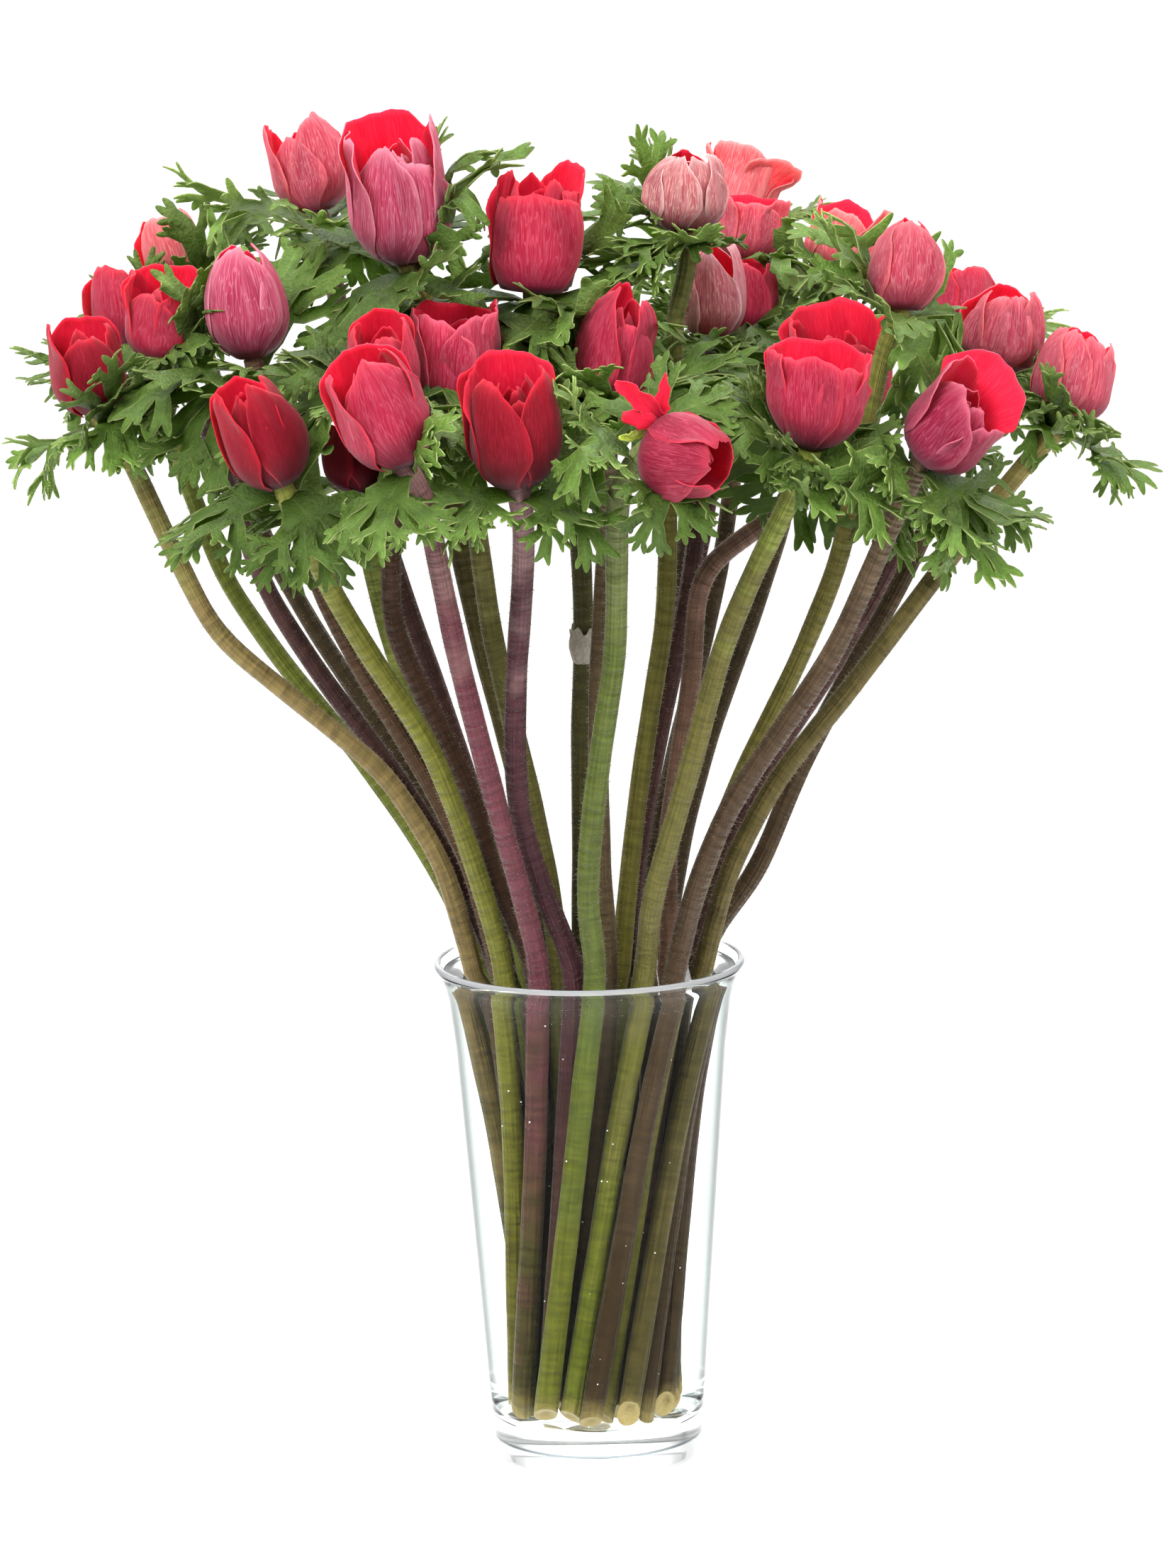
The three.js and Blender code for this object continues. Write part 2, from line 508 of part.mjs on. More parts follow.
// A whorl of cupped petals, thick at their middles and sharp at their edges, folded between two
// rings: their outsides grow from the low ring and their insides from the high ring.
function addWhorl(body, flower, low, high, whorl) {
  const steps = RING_SIDES / PETALS_PER_WHORL;
  for (let k = 0; k < PETALS_PER_WHORL; k++) {
    const first = k * steps + whorl.shift;
    const turn = body.spin + (2 * Math.PI * (first + steps / 2)) / RING_SIDES;
    const from = (ring) => Array.from({ length: steps + 1 }, (_, c) => ring[(first + c) % RING_SIDES]);
    const front = [from(low)];
    const back = [from(high)];
    whorl.rows.forEach((row, r) => {
      const tip = r === whorl.rows.length - 1;
      const made = petalRow(body, flower, whorl, row, turn, tip);
      front.push(made.front);
      back.push(made.back);
    });
    addSheet(body, front, false);
    addSheet(body, back, true);
    body.triangles.push([front[0][0], front[1][0], back[0][0]]);
    body.triangles.push([front[1][steps], front[0][steps], back[0][steps]]);
  }
}

// One row of a petal. Its ends, and the whole of the tip's row, are shared by both faces.
function petalRow(body, flower, whorl, row, turn, tip) {
  const half = (flower.wide / 2) * whorl.scale;
  const columns = RING_SIDES / PETALS_PER_WHORL + 1;
  const front = [];
  const back = [];
  for (let c = 0; c < columns; c++) {
    const u = (2 * c) / (columns - 1) - 1;
    const t = row.t - row.drop * u * u;
    const reach = half * petalReach(t, flower.open) * (1 + OVERLAP_STEP * u);
    const angle = turn + whorl.halfAngle * row.spread * u;
    const at = (r) => V(r * Math.cos(angle), r * Math.sin(angle), flower.long * whorl.height * t);
    const edge = tip || c === 0 || c === columns - 1;
    front.push(body.points.push(at(edge ? reach : reach + PETAL_THICKNESS / 2)) - 1);
    back.push(edge ? front[c] : body.points.push(at(reach - PETAL_THICKNESS / 2)) - 1);
  }
  return { front, back };
}

// The squares of a grid, each cut in two along the diagonal that leans towards the grid's middle
// at the tip, so that no face of a petal's outside lies on its inside.
function addSheet(body, grid, isBack) {
  for (let r = 0; r < grid.length - 1; r++) {
    const last = grid[r].length - 1;
    for (let c = 0; c < last; c++) {
      const [a, b, d, e] = [grid[r][c], grid[r][c + 1], grid[r + 1][c + 1], grid[r + 1][c]];
      const pair = c < last / 2 ? [[a, b, e], [b, d, e]] : [[a, b, d], [a, d, e]];
      body.triangles.push(...pair.map(([x, y, z]) => (isBack ? [x, z, y] : [x, y, z])));
    }
  }
}

// The folded heart that closes the innermost ring.
function addHeart(body, flower, ring, layers) {
  const half = flower.wide / 2;
  const height = flower.long * lerp(...HEART_HEIGHT, flower.open);
  const belly = half * lerp(...HEART_BELLY, flower.open) * (layers > 1 ? CROWDED_HEART : 1);
  const middle = addPoints(body, ringPoints(belly, height * HEART_BELLY_AT, body.spin));
  const apex = body.points.push(V(0, 0, height)) - 1;
  ring.forEach((a, i) => {
    const j = (i + 1) % RING_SIDES;
    body.triangles.push([a, ring[j], middle[j]], [a, middle[j], middle[i]]);
    body.triangles.push([middle[i], middle[j], apex]);
  });
}

function bloomSolid(flower, index) {
  const body = { points: [], triangles: [], spin: index * BLOOM_TURN };
  const whorls = [OUTER_WHORL, INNER_WHORL].slice(0, flower.layers ?? 1);
  const rings = [0, 1, 2].map((n) => {
    const radius = (flower.wide / 2) * (PETAL_BASE - RING_SHRINK * n);
    return addPoints(body, ringPoints(radius, n * RING_STEP, body.spin));
  });
  const floor = rings[0];
  for (let i = 1; i < RING_SIDES - 1; i++) body.triangles.push([floor[0], floor[i + 1], floor[i]]);
  whorls.forEach((whorl, n) => addWhorl(body, flower, rings[n], rings[n + 1], whorl));
  addHeart(body, flower, rings[whorls.length], whorls.length);
  return solidOf(body.points, body.triangles);
}

// Places a solid that was made about +Z at a bloom's base, facing its way.
function bloomPlace(flower) {
  const turn = new THREE.Quaternion().setFromUnitVectors(UP, V(...flower.face).normalize());
  return new THREE.Matrix4().compose(V(...flower.bloom), turn, V(1, 1, 1));
}

// The frame of a leaf: out from the stem, across the leaf, and along the stem.
function leafFrame(flower, line, turn) {
  const along = V(...flower.bloom).sub(line[line.length - 3]).normalize();
  const first = V(1, 0, 0).addScaledVector(along, -along.x).normalize();
  const second = along.clone().cross(first);
  const out = first.clone().multiplyScalar(Math.cos(turn)).addScaledVector(second, Math.sin(turn));
  return { root: V(...flower.whorl), out, across: along.clone().cross(out), along };
}

// A point of a leaf: reach along the ray at angle from the leaf's middle, on its arched surface.
function leafPoint(frame, leaf, reach, angle, offset, bend) {
  const share = reach / leaf.length;
  const ahead = reach * Math.cos(angle);
  const aside = reach * Math.sin(angle);
  const arch = LEAF_RISE * share - LEAF_ARCH * share ** 2;
  const cup = LEAF_CUP * (aside / leaf.length) ** 2;
  const bent = bend * Math.max(0, share - NOTCH_REACH);
  const height = offset + leaf.length * (arch + cup + bent);
  const [c, s] = [Math.cos(leaf.lift), Math.sin(leaf.lift)];
  return frame.root
    .clone()
    .addScaledVector(frame.out, ahead * c - height * s)
    .addScaledVector(frame.along, ahead * s + height * c)
    .addScaledVector(frame.across, aside);
}

function notchAngle(n) {
  return lerp(-FAN_HALF_ANGLE, FAN_HALF_ANGLE, n / LOBES);
}

// The bearing of a lobe's tip.
function lobeAngle(n) {
  return ((notchAngle(n) + notchAngle(n + 1)) / 2) * LOBE_FAN;
}

// A flat wedge round some points of a leaf, a little larger than the leaf, to feel for neighbours.
function feeler(corners, thickness) {
  const middle = corners.reduce((sum, p) => sum.add(p), V(0, 0, 0)).divideScalar(corners.length);
  const normal = corners[1].clone().sub(corners[0]).cross(corners[2].clone().sub(corners[0])).normalize();
  const grown = corners.map((p) => {
    const outward = p.clone().sub(middle);
    return p.clone().addScaledVector(outward.normalize(), LEAF_CLEARANCE);
  });
  const n = grown.length;
  const points = [
    ...grown.map((p) => p.clone().addScaledVector(normal, thickness / 2)),
    ...grown.map((p) => p.clone().addScaledVector(normal, -thickness / 2)),
  ];
  const triangles = [];
  for (let i = 1; i < n - 1; i++) triangles.push([0, i, i + 1], [n, n + i + 1, n + i]);
  for (let i = 0; i < n; i++) {
    const j = (i + 1) % n;
    triangles.push([i, n + i, n + j], [i, n + j, j]);
  }
  return solidOf(points, triangles);
}

function boxesMeet(a, b) {
  return [0, 1, 2].every((k) => a.min[k] <= b.max[k] && b.min[k] <= a.max[k]);
}

function isClear(solid, obstacles) {
  const box = solid.boundingBox();
  return !obstacles.some((o) => boxesMeet(box, o.box) && solid.intersect(o.solid).volume() > 1e-3);
}

// A lobe's side tooth, tip and other side tooth.
function lobeOutline(frame, leaf, n, lobe) {
  const notch = leaf.length * NOTCH_REACH;
  const length = (leaf.length * LOBE_REACH[n] - notch) * lobe.share;
  const aside = (TOOTH_SPREAD * FAN_HALF_ANGLE) / LOBES;
  const at = (share, angle) => leafPoint(frame, leaf, notch + length * share, angle, 0, lobe.bend);
  const angle = lobeAngle(n);
  return [at(TOOTH_AT, angle - aside), at(1, angle), at(TOOTH_AT, angle + aside)];
}

function lobeIsClear(frame, leaf, n, lobe, obstacles) {
  const notch = leaf.length * NOTCH_REACH;
  const corners = [
    leafPoint(frame, leaf, notch, notchAngle(n), 0, lobe.bend),
    ...lobeOutline(frame, leaf, n, lobe),
    leafPoint(frame, leaf, notch, notchAngle(n + 1), 0, lobe.bend),
  ];
  return isClear(feeler(corners, LEAF_THICKNESS + 2 * LEAF_CLEARANCE), obstacles);
}

// The fan inside the notches, two notches at a time.
function fanIsClear(frame, leaf, obstacles) {
  for (let n = 0; n < LOBES; n++) {
    const reach = leaf.length * NOTCH_REACH;
    const corners = [
      leafPoint(frame, leaf, reach * FAN_START, 0, 0, 0),
      leafPoint(frame, leaf, reach, notchAngle(n), 0, 0),
      leafPoint(frame, leaf, reach, notchAngle(n + 1), 0, 0),
    ];
    if (!isClear(feeler(corners, LEAF_THICKNESS + LEAF_CLEARANCE), obstacles)) return false;
  }
  return true;
}

// Ways to bend or shorten a lobe that would run into a neighbour, the mildest first.
const LOBE_WAYS = [1, 0.8, 0.6, 0.42].flatMap((share) =>
  [0, 0.3, -0.3, 0.6, -0.6, 0.95, -0.95].map((bend) => ({ share, bend })),
);
const LOBE_STUB = { share: 0.12, bend: 0 };

// Ways to lift and turn a whole leaf off what is in its way, in degrees.
const LEAF_WAYS = [0, 12, -12, 24, -24, 38, -38, 55, -55].flatMap((lift) =>
  [0, 14, -14].map((turn) => ({ lift, turn })),
);

// Sizes to try in each such place.
const LEAF_SIZES = [1, 0.85, 0.7];

// A leaf with its lobes bent clear of the other pieces and of its own stem's earlier leaves.
function placedLeaf(flower, line, k, others, own) {
  const obstacles = [...others, ...own];
  let best = null;
  for (const way of LEAF_WAYS) {
    for (const size of LEAF_SIZES) {
      const turn = radians(flower.turn + way.turn + (360 * k) / LEAVES_PER_WHORL);
      const frame = leafFrame(flower, line, turn);
      const leaf = { length: flower.leaf * size, lift: radians(flower.lift[k] + way.lift) };
      if (!fanIsClear(frame, leaf, obstacles)) continue;
      const lobes = LOBE_REACH.map(
        (_, n) => LOBE_WAYS.find((lobe) => lobeIsClear(frame, leaf, n, lobe, obstacles)) ?? LOBE_STUB,
      );
      const whole = lobes.reduce((sum, lobe) => sum + lobe.share, 0) * size;
      const kept = whole - LIFT_PENALTY * Math.abs(way.lift);
      if (best && kept <= best.kept) continue;
      const solid = leafSolid({ frame, leaf, lobes });
      if (!isClear(solid, others)) continue;
      best = { solid, kept };
      if (kept > LOBES * WHOLE_LEAF) return solid;
    }
  }
  return best?.solid;
}

// The corners of a leaf's neck: over, under and either side of its middle line, first where the
// leaf starts to fan out and then at the stem's middle.
function neckPoints(frame, leaf) {
  const rise = frame.along.clone().multiplyScalar(LEAF_ROOT_THICKNESS / 2);
  const side = frame.across.clone().multiplyScalar(LEAF_ROOT_WIDTH / 2);
  return [LEAF_ROOT_REACH, 0].flatMap((reach) => {
    const middle = leafPoint(frame, leaf, reach, 0, 0, 0);
    return [rise, rise.clone().negate(), side.clone().negate(), side].map((d) => middle.clone().add(d));
  });
}

// The notches' points. Each is bent by half of what the lobes beside it are.
function notchPoints(frame, leaf, lobes) {
  const bends = [lobes[0], ...lobes, lobes[LOBES - 1]].map((lobe) => lobe.bend);
  return Array.from({ length: LOBES + 1 }, (_, n) => {
    const bend = (bends[n] + bends[n + 1]) / 2;
    return leafPoint(frame, leaf, leaf.length * NOTCH_REACH, notchAngle(n), 0, bend);
  });
}

// The leaf's solid: a fan from the neck, with a pointed lobe between each two notches.
function leafSolid({ frame, leaf, lobes }) {
  const body = { points: [], triangles: [] };
  const [over, under, left, right, ...inner] = addPoints(body, neckPoints(frame, leaf));
  const notches = addPoints(body, notchPoints(frame, leaf, lobes));
  [[over, left], [left, under], [under, right], [right, over]].forEach(([a, b]) => {
    body.triangles.push([a, a + 4, b], [b, a + 4, b + 4]);
  });
  body.triangles.push([inner[0], inner[3], inner[2]], [inner[1], inner[2], inner[3]]);
  body.triangles.push([over, left, notches[0]], [under, notches[0], left]);
  body.triangles.push([over, notches[LOBES], right], [under, right, notches[LOBES]]);
  lobes.forEach((lobe, n) => {
    const edge = addPoints(body, lobeOutline(frame, leaf, n, lobe));
    const outline = [notches[n], ...edge, notches[n + 1]];
    const rib = leaf.length * (NOTCH_REACH + (LOBE_REACH[n] - NOTCH_REACH) * lobe.share * RIB_AT);
    const ridge = leafPoint(frame, leaf, rib, lobeAngle(n), LEAF_THICKNESS, lobe.bend);
    const [top] = addPoints(body, [ridge]);
    body.triangles.push([over, outline[0], top], [over, top, outline[4]]);
    for (let i = 0; i < 4; i++) {
      body.triangles.push([outline[i], outline[i + 1], top], [under, outline[i + 1], outline[i]]);
    }
  });
  return solidOf(body.points, body.triangles);
}

// The wall of the plain hole that a stem stands in, from the floor to the water's top.
function holeRings(flower, line) {
  const rings = stalkRings(flower, line, HOLE_MARGIN).slice(0, STEMS_IN_VASE + 1);
  const last = rings.pop();
  const below = rings[rings.length - 1];
  const cut = last.map((p, n) => below[n].clone().lerp(p, (WATER_Z - below[n].z) / (p.z - below[n].z)));
  return [...rings, cut];
}

// The water round the stems, each in a plain hole that goes through to the floor.
function waterSolid(flowers, lines) {
  const body = { points: [], triangles: [] };
  const floor = FLOOR_Z + GAP;
  const bends = VASE_INSIDE.map(([, z]) => z).filter((z) => z > floor && z < WATER_Z).reverse();
  const outer = addWall(body, [floor, ...bends, WATER_Z].map((z) => level(boreAt(z) - GAP, z)));
  const inside = { points: body.points, triangles: [] };
  const holes = flowers.map((flower, i) => addWall(inside, holeRings(flower, lines[i])));
  body.triangles.push(...inside.triangles.map(([a, b, c]) => [a, c, b]));
  addPlate(body, outer[0], holes.map((walls) => walls[0]), true);
  addPlate(body, outer[outer.length - 1], holes.map((walls) => walls[walls.length - 1]), false);
  return solidOf(body.points, body.triangles);
}

// A level circle of corners as the vase has them.
function level(radius, z) {
  return Array.from({ length: VASE_SIDES }, (_, n) => {
    const angle = (2 * Math.PI * n) / VASE_SIDES;
    return V(radius * Math.cos(angle), radius * Math.sin(angle), z);
  });
}

// A flat face with holes between corners that are already there.
function addPlate(body, outer, holes, facesDown) {
  const flat = (ring) => ring.map((i) => new THREE.Vector2(body.points[i].x, body.points[i].y));
  const corners = [...outer, ...holes.flat()];
  for (const face of THREE.ShapeUtils.triangulateShape(flat(outer), holes.map(flat))) {
    const cut = face.map((i) => corners[i]);
    const isUp = THREE.ShapeUtils.area(flat(cut)) > 0;
    body.triangles.push(isUp === facesDown ? cut.reverse() : cut);
  }
}

// The flowers' numbers, from the outermost head to the middle one.
function fromOutside() {
  const reach = (i) => Math.hypot(FLOWERS[i].whorl[0], FLOWERS[i].whorl[1]);
  return FLOWERS.map((_, i) => i).sort((a, b) => reach(b) - reach(a));
}

// Each stalk joined with its leaves, which are placed clear of all that stands already.
function leafyStems(lines, vase, blooms) {
  const obstacle = (solid, owner) => ({ solid, owner, box: solid.boundingBox() });
  const leafy = FLOWERS.map((flower, i) => stalkSolid(flower, lines[i]));
  const standing = [vase, ...blooms].map((solid) => obstacle(solid, null));
  standing.push(...leafy.map(obstacle));
  for (const i of fromOutside()) {
    const others = standing.filter((o) => o.owner !== i);
    const own = [];
    for (let k = 0; k < LEAVES_PER_WHORL; k++) {
      const solid = placedLeaf(FLOWERS[i], lines[i], k, others, own);
      if (solid) own.push(obstacle(solid, i));
    }
    own.forEach((o) => (leafy[i] = leafy[i].add(o.solid)));
    standing.push(...own);
  }
  return leafy.map(largestBody);
}

// One flower: its leafy stem where it stands, and its bloom turned to face its way.
function anemone(flower, i, leafy, bloom) {
  const number = String(i + 1).padStart(2, "0");
  const group = new THREE.Group();
  group.name = `anemone_${number}`;
  group.add(meshOf(`leafy_stem_${number}`, leafy, flower.skin));
  const head = meshOf(`bloom_${number}`, bloom, flower.petals);
  bloomPlace(flower).decompose(head.position, head.quaternion, head.scale);
  group.add(head);
  return group;
}

function buildBouquet() {
  const bouquet = new THREE.Group();
  const lines = settle(FLOWERS);
  const vase = vaseSolid();
  const blooms = FLOWERS.map(bloomSolid);
  const placed = FLOWERS.map((flower, i) => blooms[i].transform(bloomPlace(flower).elements));
  const leafy = leafyStems(lines, vase, placed);
  bouquet.add(meshOf("vase", vase, "glass"));
  bouquet.add(meshOf("water", waterSolid(FLOWERS, lines), "water"));
  FLOWERS.forEach((flower, i) => bouquet.add(anemone(flower, i, leafy[i], blooms[i])));
  return bouquet;
}

export default buildBouquet();
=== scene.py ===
"""Red poppy anemones standing in a flared glass vase of water.

Each flower is a stalk with fine white hairs, a whorl of cut leaves and a bloom of silky petals.
Sizes are in millimetres and turned to metres when a mesh is made. Bearings are in degrees: 0 is
right, 90 away from the viewer, 180 left and 270 towards the viewer.
"""

from __future__ import annotations

import logging
import math
from dataclasses import dataclass, field
from enum import Enum
from typing import Any, Optional, Sequence

import bpy
import numpy as np
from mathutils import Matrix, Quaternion, Vector

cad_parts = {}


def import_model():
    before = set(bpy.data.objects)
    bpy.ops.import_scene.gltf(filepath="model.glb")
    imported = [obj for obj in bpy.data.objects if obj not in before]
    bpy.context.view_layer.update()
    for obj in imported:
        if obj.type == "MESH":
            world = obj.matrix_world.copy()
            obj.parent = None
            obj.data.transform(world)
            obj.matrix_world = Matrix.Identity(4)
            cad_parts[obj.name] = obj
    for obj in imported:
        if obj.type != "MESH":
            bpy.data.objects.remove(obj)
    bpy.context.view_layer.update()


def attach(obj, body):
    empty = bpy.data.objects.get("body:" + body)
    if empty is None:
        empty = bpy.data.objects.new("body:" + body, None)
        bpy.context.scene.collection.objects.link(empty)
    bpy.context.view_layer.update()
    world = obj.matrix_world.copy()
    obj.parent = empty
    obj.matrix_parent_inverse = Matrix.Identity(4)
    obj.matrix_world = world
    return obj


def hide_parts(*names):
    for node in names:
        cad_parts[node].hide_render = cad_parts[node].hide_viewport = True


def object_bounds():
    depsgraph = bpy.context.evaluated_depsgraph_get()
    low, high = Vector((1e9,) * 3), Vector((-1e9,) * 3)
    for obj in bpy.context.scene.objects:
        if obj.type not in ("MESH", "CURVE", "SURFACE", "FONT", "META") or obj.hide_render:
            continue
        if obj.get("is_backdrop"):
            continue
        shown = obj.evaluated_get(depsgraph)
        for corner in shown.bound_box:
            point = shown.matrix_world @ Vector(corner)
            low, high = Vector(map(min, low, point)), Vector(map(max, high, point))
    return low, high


LOG = logging.getLogger("bouquet")
MM = 0.001
TURN = 2 * math.pi

Colour = tuple[float, float, float, float]
Stops = Sequence[tuple[float, Colour]]
Tree = bpy.types.NodeTree
Socket = bpy.types.NodeSocket
Piece = bpy.types.Object
Spot = tuple[float, float, float]
Face = tuple[int, ...]
Rings = tuple[tuple[float, float], ...]

BLACK: Colour = (0.0, 0.0, 0.0, 1.0)
WHITE: Colour = (1.0, 1.0, 1.0, 1.0)


# ---- small tools ----


def linear(code: str) -> Colour:
    """Turns an sRGB hex colour into a linear one.

    Args:
        code: the hex colour, such as "c81e2b".

    Returns:
        Linear red, green, blue and alpha.
    """

    def channel(at: int) -> float:
        """The linear value of the two digits from a place on."""
        value = int(code[at : at + 2], 16) / 255
        return value / 12.92 if value <= 0.04045 else ((value + 0.055) / 1.055) ** 2.4

    return (channel(0), channel(2), channel(4), 1.0)


def unit(vector: np.ndarray) -> np.ndarray:
    """The same way at length 1."""
    return vector / np.linalg.norm(vector)


def ease(value: np.ndarray | float, low: float, high: float) -> np.ndarray | float:
    """0 below low, 1 above high and smooth between them."""
    share = np.clip((value - low) / (high - low), 0.0, 1.0)
    return share * share * (3 - 2 * share)


def add_node(
    tree: Tree,
    kind: str,
    sockets: Optional[dict[int | str, Any]] = None,
    out: int | str = 0,
    stops: Stops = (),
    **settings: Any,
) -> Optional[Socket]:
    """Adds a shader node.

    Args:
        tree: the material's or world's node tree.
        kind: the node's type name without its ShaderNode prefix.
        sockets: its inputs by number or name, each with its value or the output to join.
        out: which of its outputs is wanted, by number or name.
        stops: a colour ramp's stops, from the lowest up.
        settings: the node's attributes.

    Returns:
        The wanted output, or None where the node has none.
    """
    node = tree.nodes.new("ShaderNode" + kind)
    for name, value in settings.items():
        setattr(node, name, value)
    for key, value in (sockets or {}).items():
        if isinstance(value, Socket):
            tree.links.new(value, node.inputs[key])
        else:
            node.inputs[key].default_value = value
    if stops:
        elements = node.color_ramp.elements
        while len(elements) < len(stops):
            elements.new(0.5)
        for element, (place, colour) in zip(elements, stops):
            element.position = place
            element.color = colour
    return node.outputs[out] if len(node.outputs) else None


class MeshDraft:
    """Collects the corners, faces and corner values of one piece, in millimetres."""

    def __init__(self) -> None:
        """Starts empty."""
        self.points: list[np.ndarray] = []
        self.faces: list[Face] = []
        self.slots: list[int] = []
        self.values: dict[str, list[np.ndarray]] = {}
        self.count = 0

    def add(
        self, points: np.ndarray, faces: Sequence[Sequence[int]], slot: int = 0, **values: Any
    ) -> None:
        """Adds corners and faces.

        Args:
            points: corners, one a row.
            faces: the faces' corners, counted from the first of these points.
            slot: the material slot of these faces.
            values: numbers kept on the corners, one for all or one for each.
        """
        start = self.count
        self.points.append(np.asarray(points, float))
        self.faces.extend(tuple(int(i) + start for i in face) for face in faces)
        self.slots.extend([slot] * len(faces))
        for name, value in values.items():
            kept = self.values.setdefault(name, [])
            kept.append(np.broadcast_to(np.asarray(value, float), (len(points),)))
        self.count += len(points)

    def piece(self, name: str, materials: Sequence[bpy.types.Material]) -> Piece:
        """Makes the Blender object, smooth shaded, from what was collected.

        Args:
            name: its name.
            materials: the materials of its slots.

        Returns:
            The object.
        """
        mesh = bpy.data.meshes.new(name)
        mesh.from_pydata((np.concatenate(self.points) * MM).tolist(), [], self.faces)
        for value_name, parts in self.values.items():
            attribute = mesh.attributes.new(value_name, "FLOAT", "POINT")
            attribute.data.foreach_set("value", np.concatenate(parts).astype(np.float32))
        for material in materials:
            mesh.materials.append(material)
        mesh.polygons.foreach_set("material_index", self.slots)
        mesh.polygons.foreach_set("use_smooth", [True] * len(self.faces))
        mesh.update()
        piece = bpy.data.objects.new(name, mesh)
        bpy.context.scene.collection.objects.link(piece)
        return piece


def grid_faces(rows: int, columns: int, closed: bool = False) -> list[Face]:
    """Lists the squares of a grid whose corners come row by row.

    Args:
        rows: how many rows of corners it has.
        columns: how many corners a row has.
        closed: whether its sides are joined.

    Returns:
        The squares.
    """
    return [
        (low + column, low + after, low + columns + after, low + columns + column)
        for low in range(0, (rows - 1) * columns, columns)
        for column in range(columns if closed else columns - 1)
        for after in [(column + 1) % columns]
    ]


def fan_faces(hub: int, first: int, count: int, turned: bool = False) -> list[Face]:
    """Triangles from a hub to a ring of corners, the other way round where turned."""
    sides = [(first + k, first + (k + 1) % count) for k in range(count)]
    return [(hub, b, a) if turned else (hub, a, b) for a, b in sides]


def round_angles(count: int) -> np.ndarray:
    """Even angles round a whole turn, in radians."""
    return np.linspace(0, TURN, count, endpoint=False)


def thicken(piece: Piece, thickness: float, offset: float = -1.0) -> None:
    """Gives a sheet its thickness, with the next material slot on its other face.

    Args:
        piece: the sheet.
        thickness: its thickness.
        offset: -1 where the sheet is the outer face to 0 where it is the middle.
    """
    solid = piece.modifiers.new("thickness", "SOLIDIFY")
    solid.thickness = thickness * MM
    solid.offset = offset
    solid.use_even_offset = False
    solid.material_offset = 1


# ---- flowers ----


class PetalHue(Enum):
    """The colours that the blooms have."""

    SCARLET = "scarlet"
    CRIMSON = "crimson"
    # Paler, pinker red: partly the blooms' own colour, partly painted backlight.
    CORAL = "coral"
    MAUVE = "mauve"
    WINE = "wine"


class StemSkin(Enum):
    """The colours that the stems have."""

    LIME = "lime"
    OLIVE = "olive"
    UMBER = "umber"
    PLUM = "plum"


@dataclass(frozen=True)
class Petal:
    """One petal of a bloom.

    Attributes:
        at: bearing of its middle about the bloom's axis.
        long: its length, as a share of the bloom's.
        reach: how far out it stands, as a share of the bloom's half width.
        spread: half of the angle that it takes round the bloom.
        open: 0 where its tip closes over the bloom to 1 where it stands like a cup's wall.
        curl: how far its tip turns out, as a share of the half width; in, when negative.
        round_tip: how much lower its corners are than its tip, as a share of its length.
        skew: how much higher its left corner is than its right one, seen from outside.
    """

    at: float
    long: float = 1.0
    reach: float = 1.0
    spread: float = 62.0
    open: float = 0.4
    curl: float = 0.0
    round_tip: float = 0.28
    skew: float = 0.0


@dataclass(frozen=True)
class Flower:
    """What is known of one flower.

    Attributes:
        number: its number in the bouquet.
        whorl: middle of its leaf whorl.
        bloom: where its petals start.
        face: the way that the bloom points.
        long: the petals' length.
        wide: the bloom's width.
        open: 0 for a closed bud to 1 for a cup.
        leaf: the leaves' length.
        turn: bearing of its first leaf.
        lift: how far each leaf rises from level, in degrees.
        thick: the stem's radius.
        skin: the stem's colour.
        hue: the petals' colour.
        leaf_gap: how far under the petals its leaves grow.
    """

    number: int
    whorl: Spot
    bloom: Spot
    face: Spot
    long: float
    wide: float
    open: float
    leaf: float
    turn: float
    lift: Spot
    thick: float
    skin: StemSkin
    hue: PetalHue
    leaf_gap: float = 4.0

    @property
    def tag(self) -> str:
        """The number as the pieces' names have it."""
        return f"{self.number:02d}"

    @property
    def axis(self) -> np.ndarray:
        """The bloom's way at length 1."""
        return unit(np.array(self.face, float))

    @property
    def collar(self) -> np.ndarray:
        """Finds where its leaves grow: on the stem's end, close under the petals.

        Returns:
            The point.
        """
        whorl, bloom = np.array(self.whorl, float), np.array(self.bloom, float)
        gap = float(np.linalg.norm(bloom - whorl))
        return whorl + (bloom - whorl) * max(gap - self.leaf_gap, 0.0) / gap

    @property
    def turned(self) -> np.ndarray:
        """The rotation that turns the bloom's own frame, whose axis is +Z, to its way."""
        turn = Vector((0, 0, 1)).rotation_difference(Vector(self.axis))
        return np.array(turn.to_matrix())


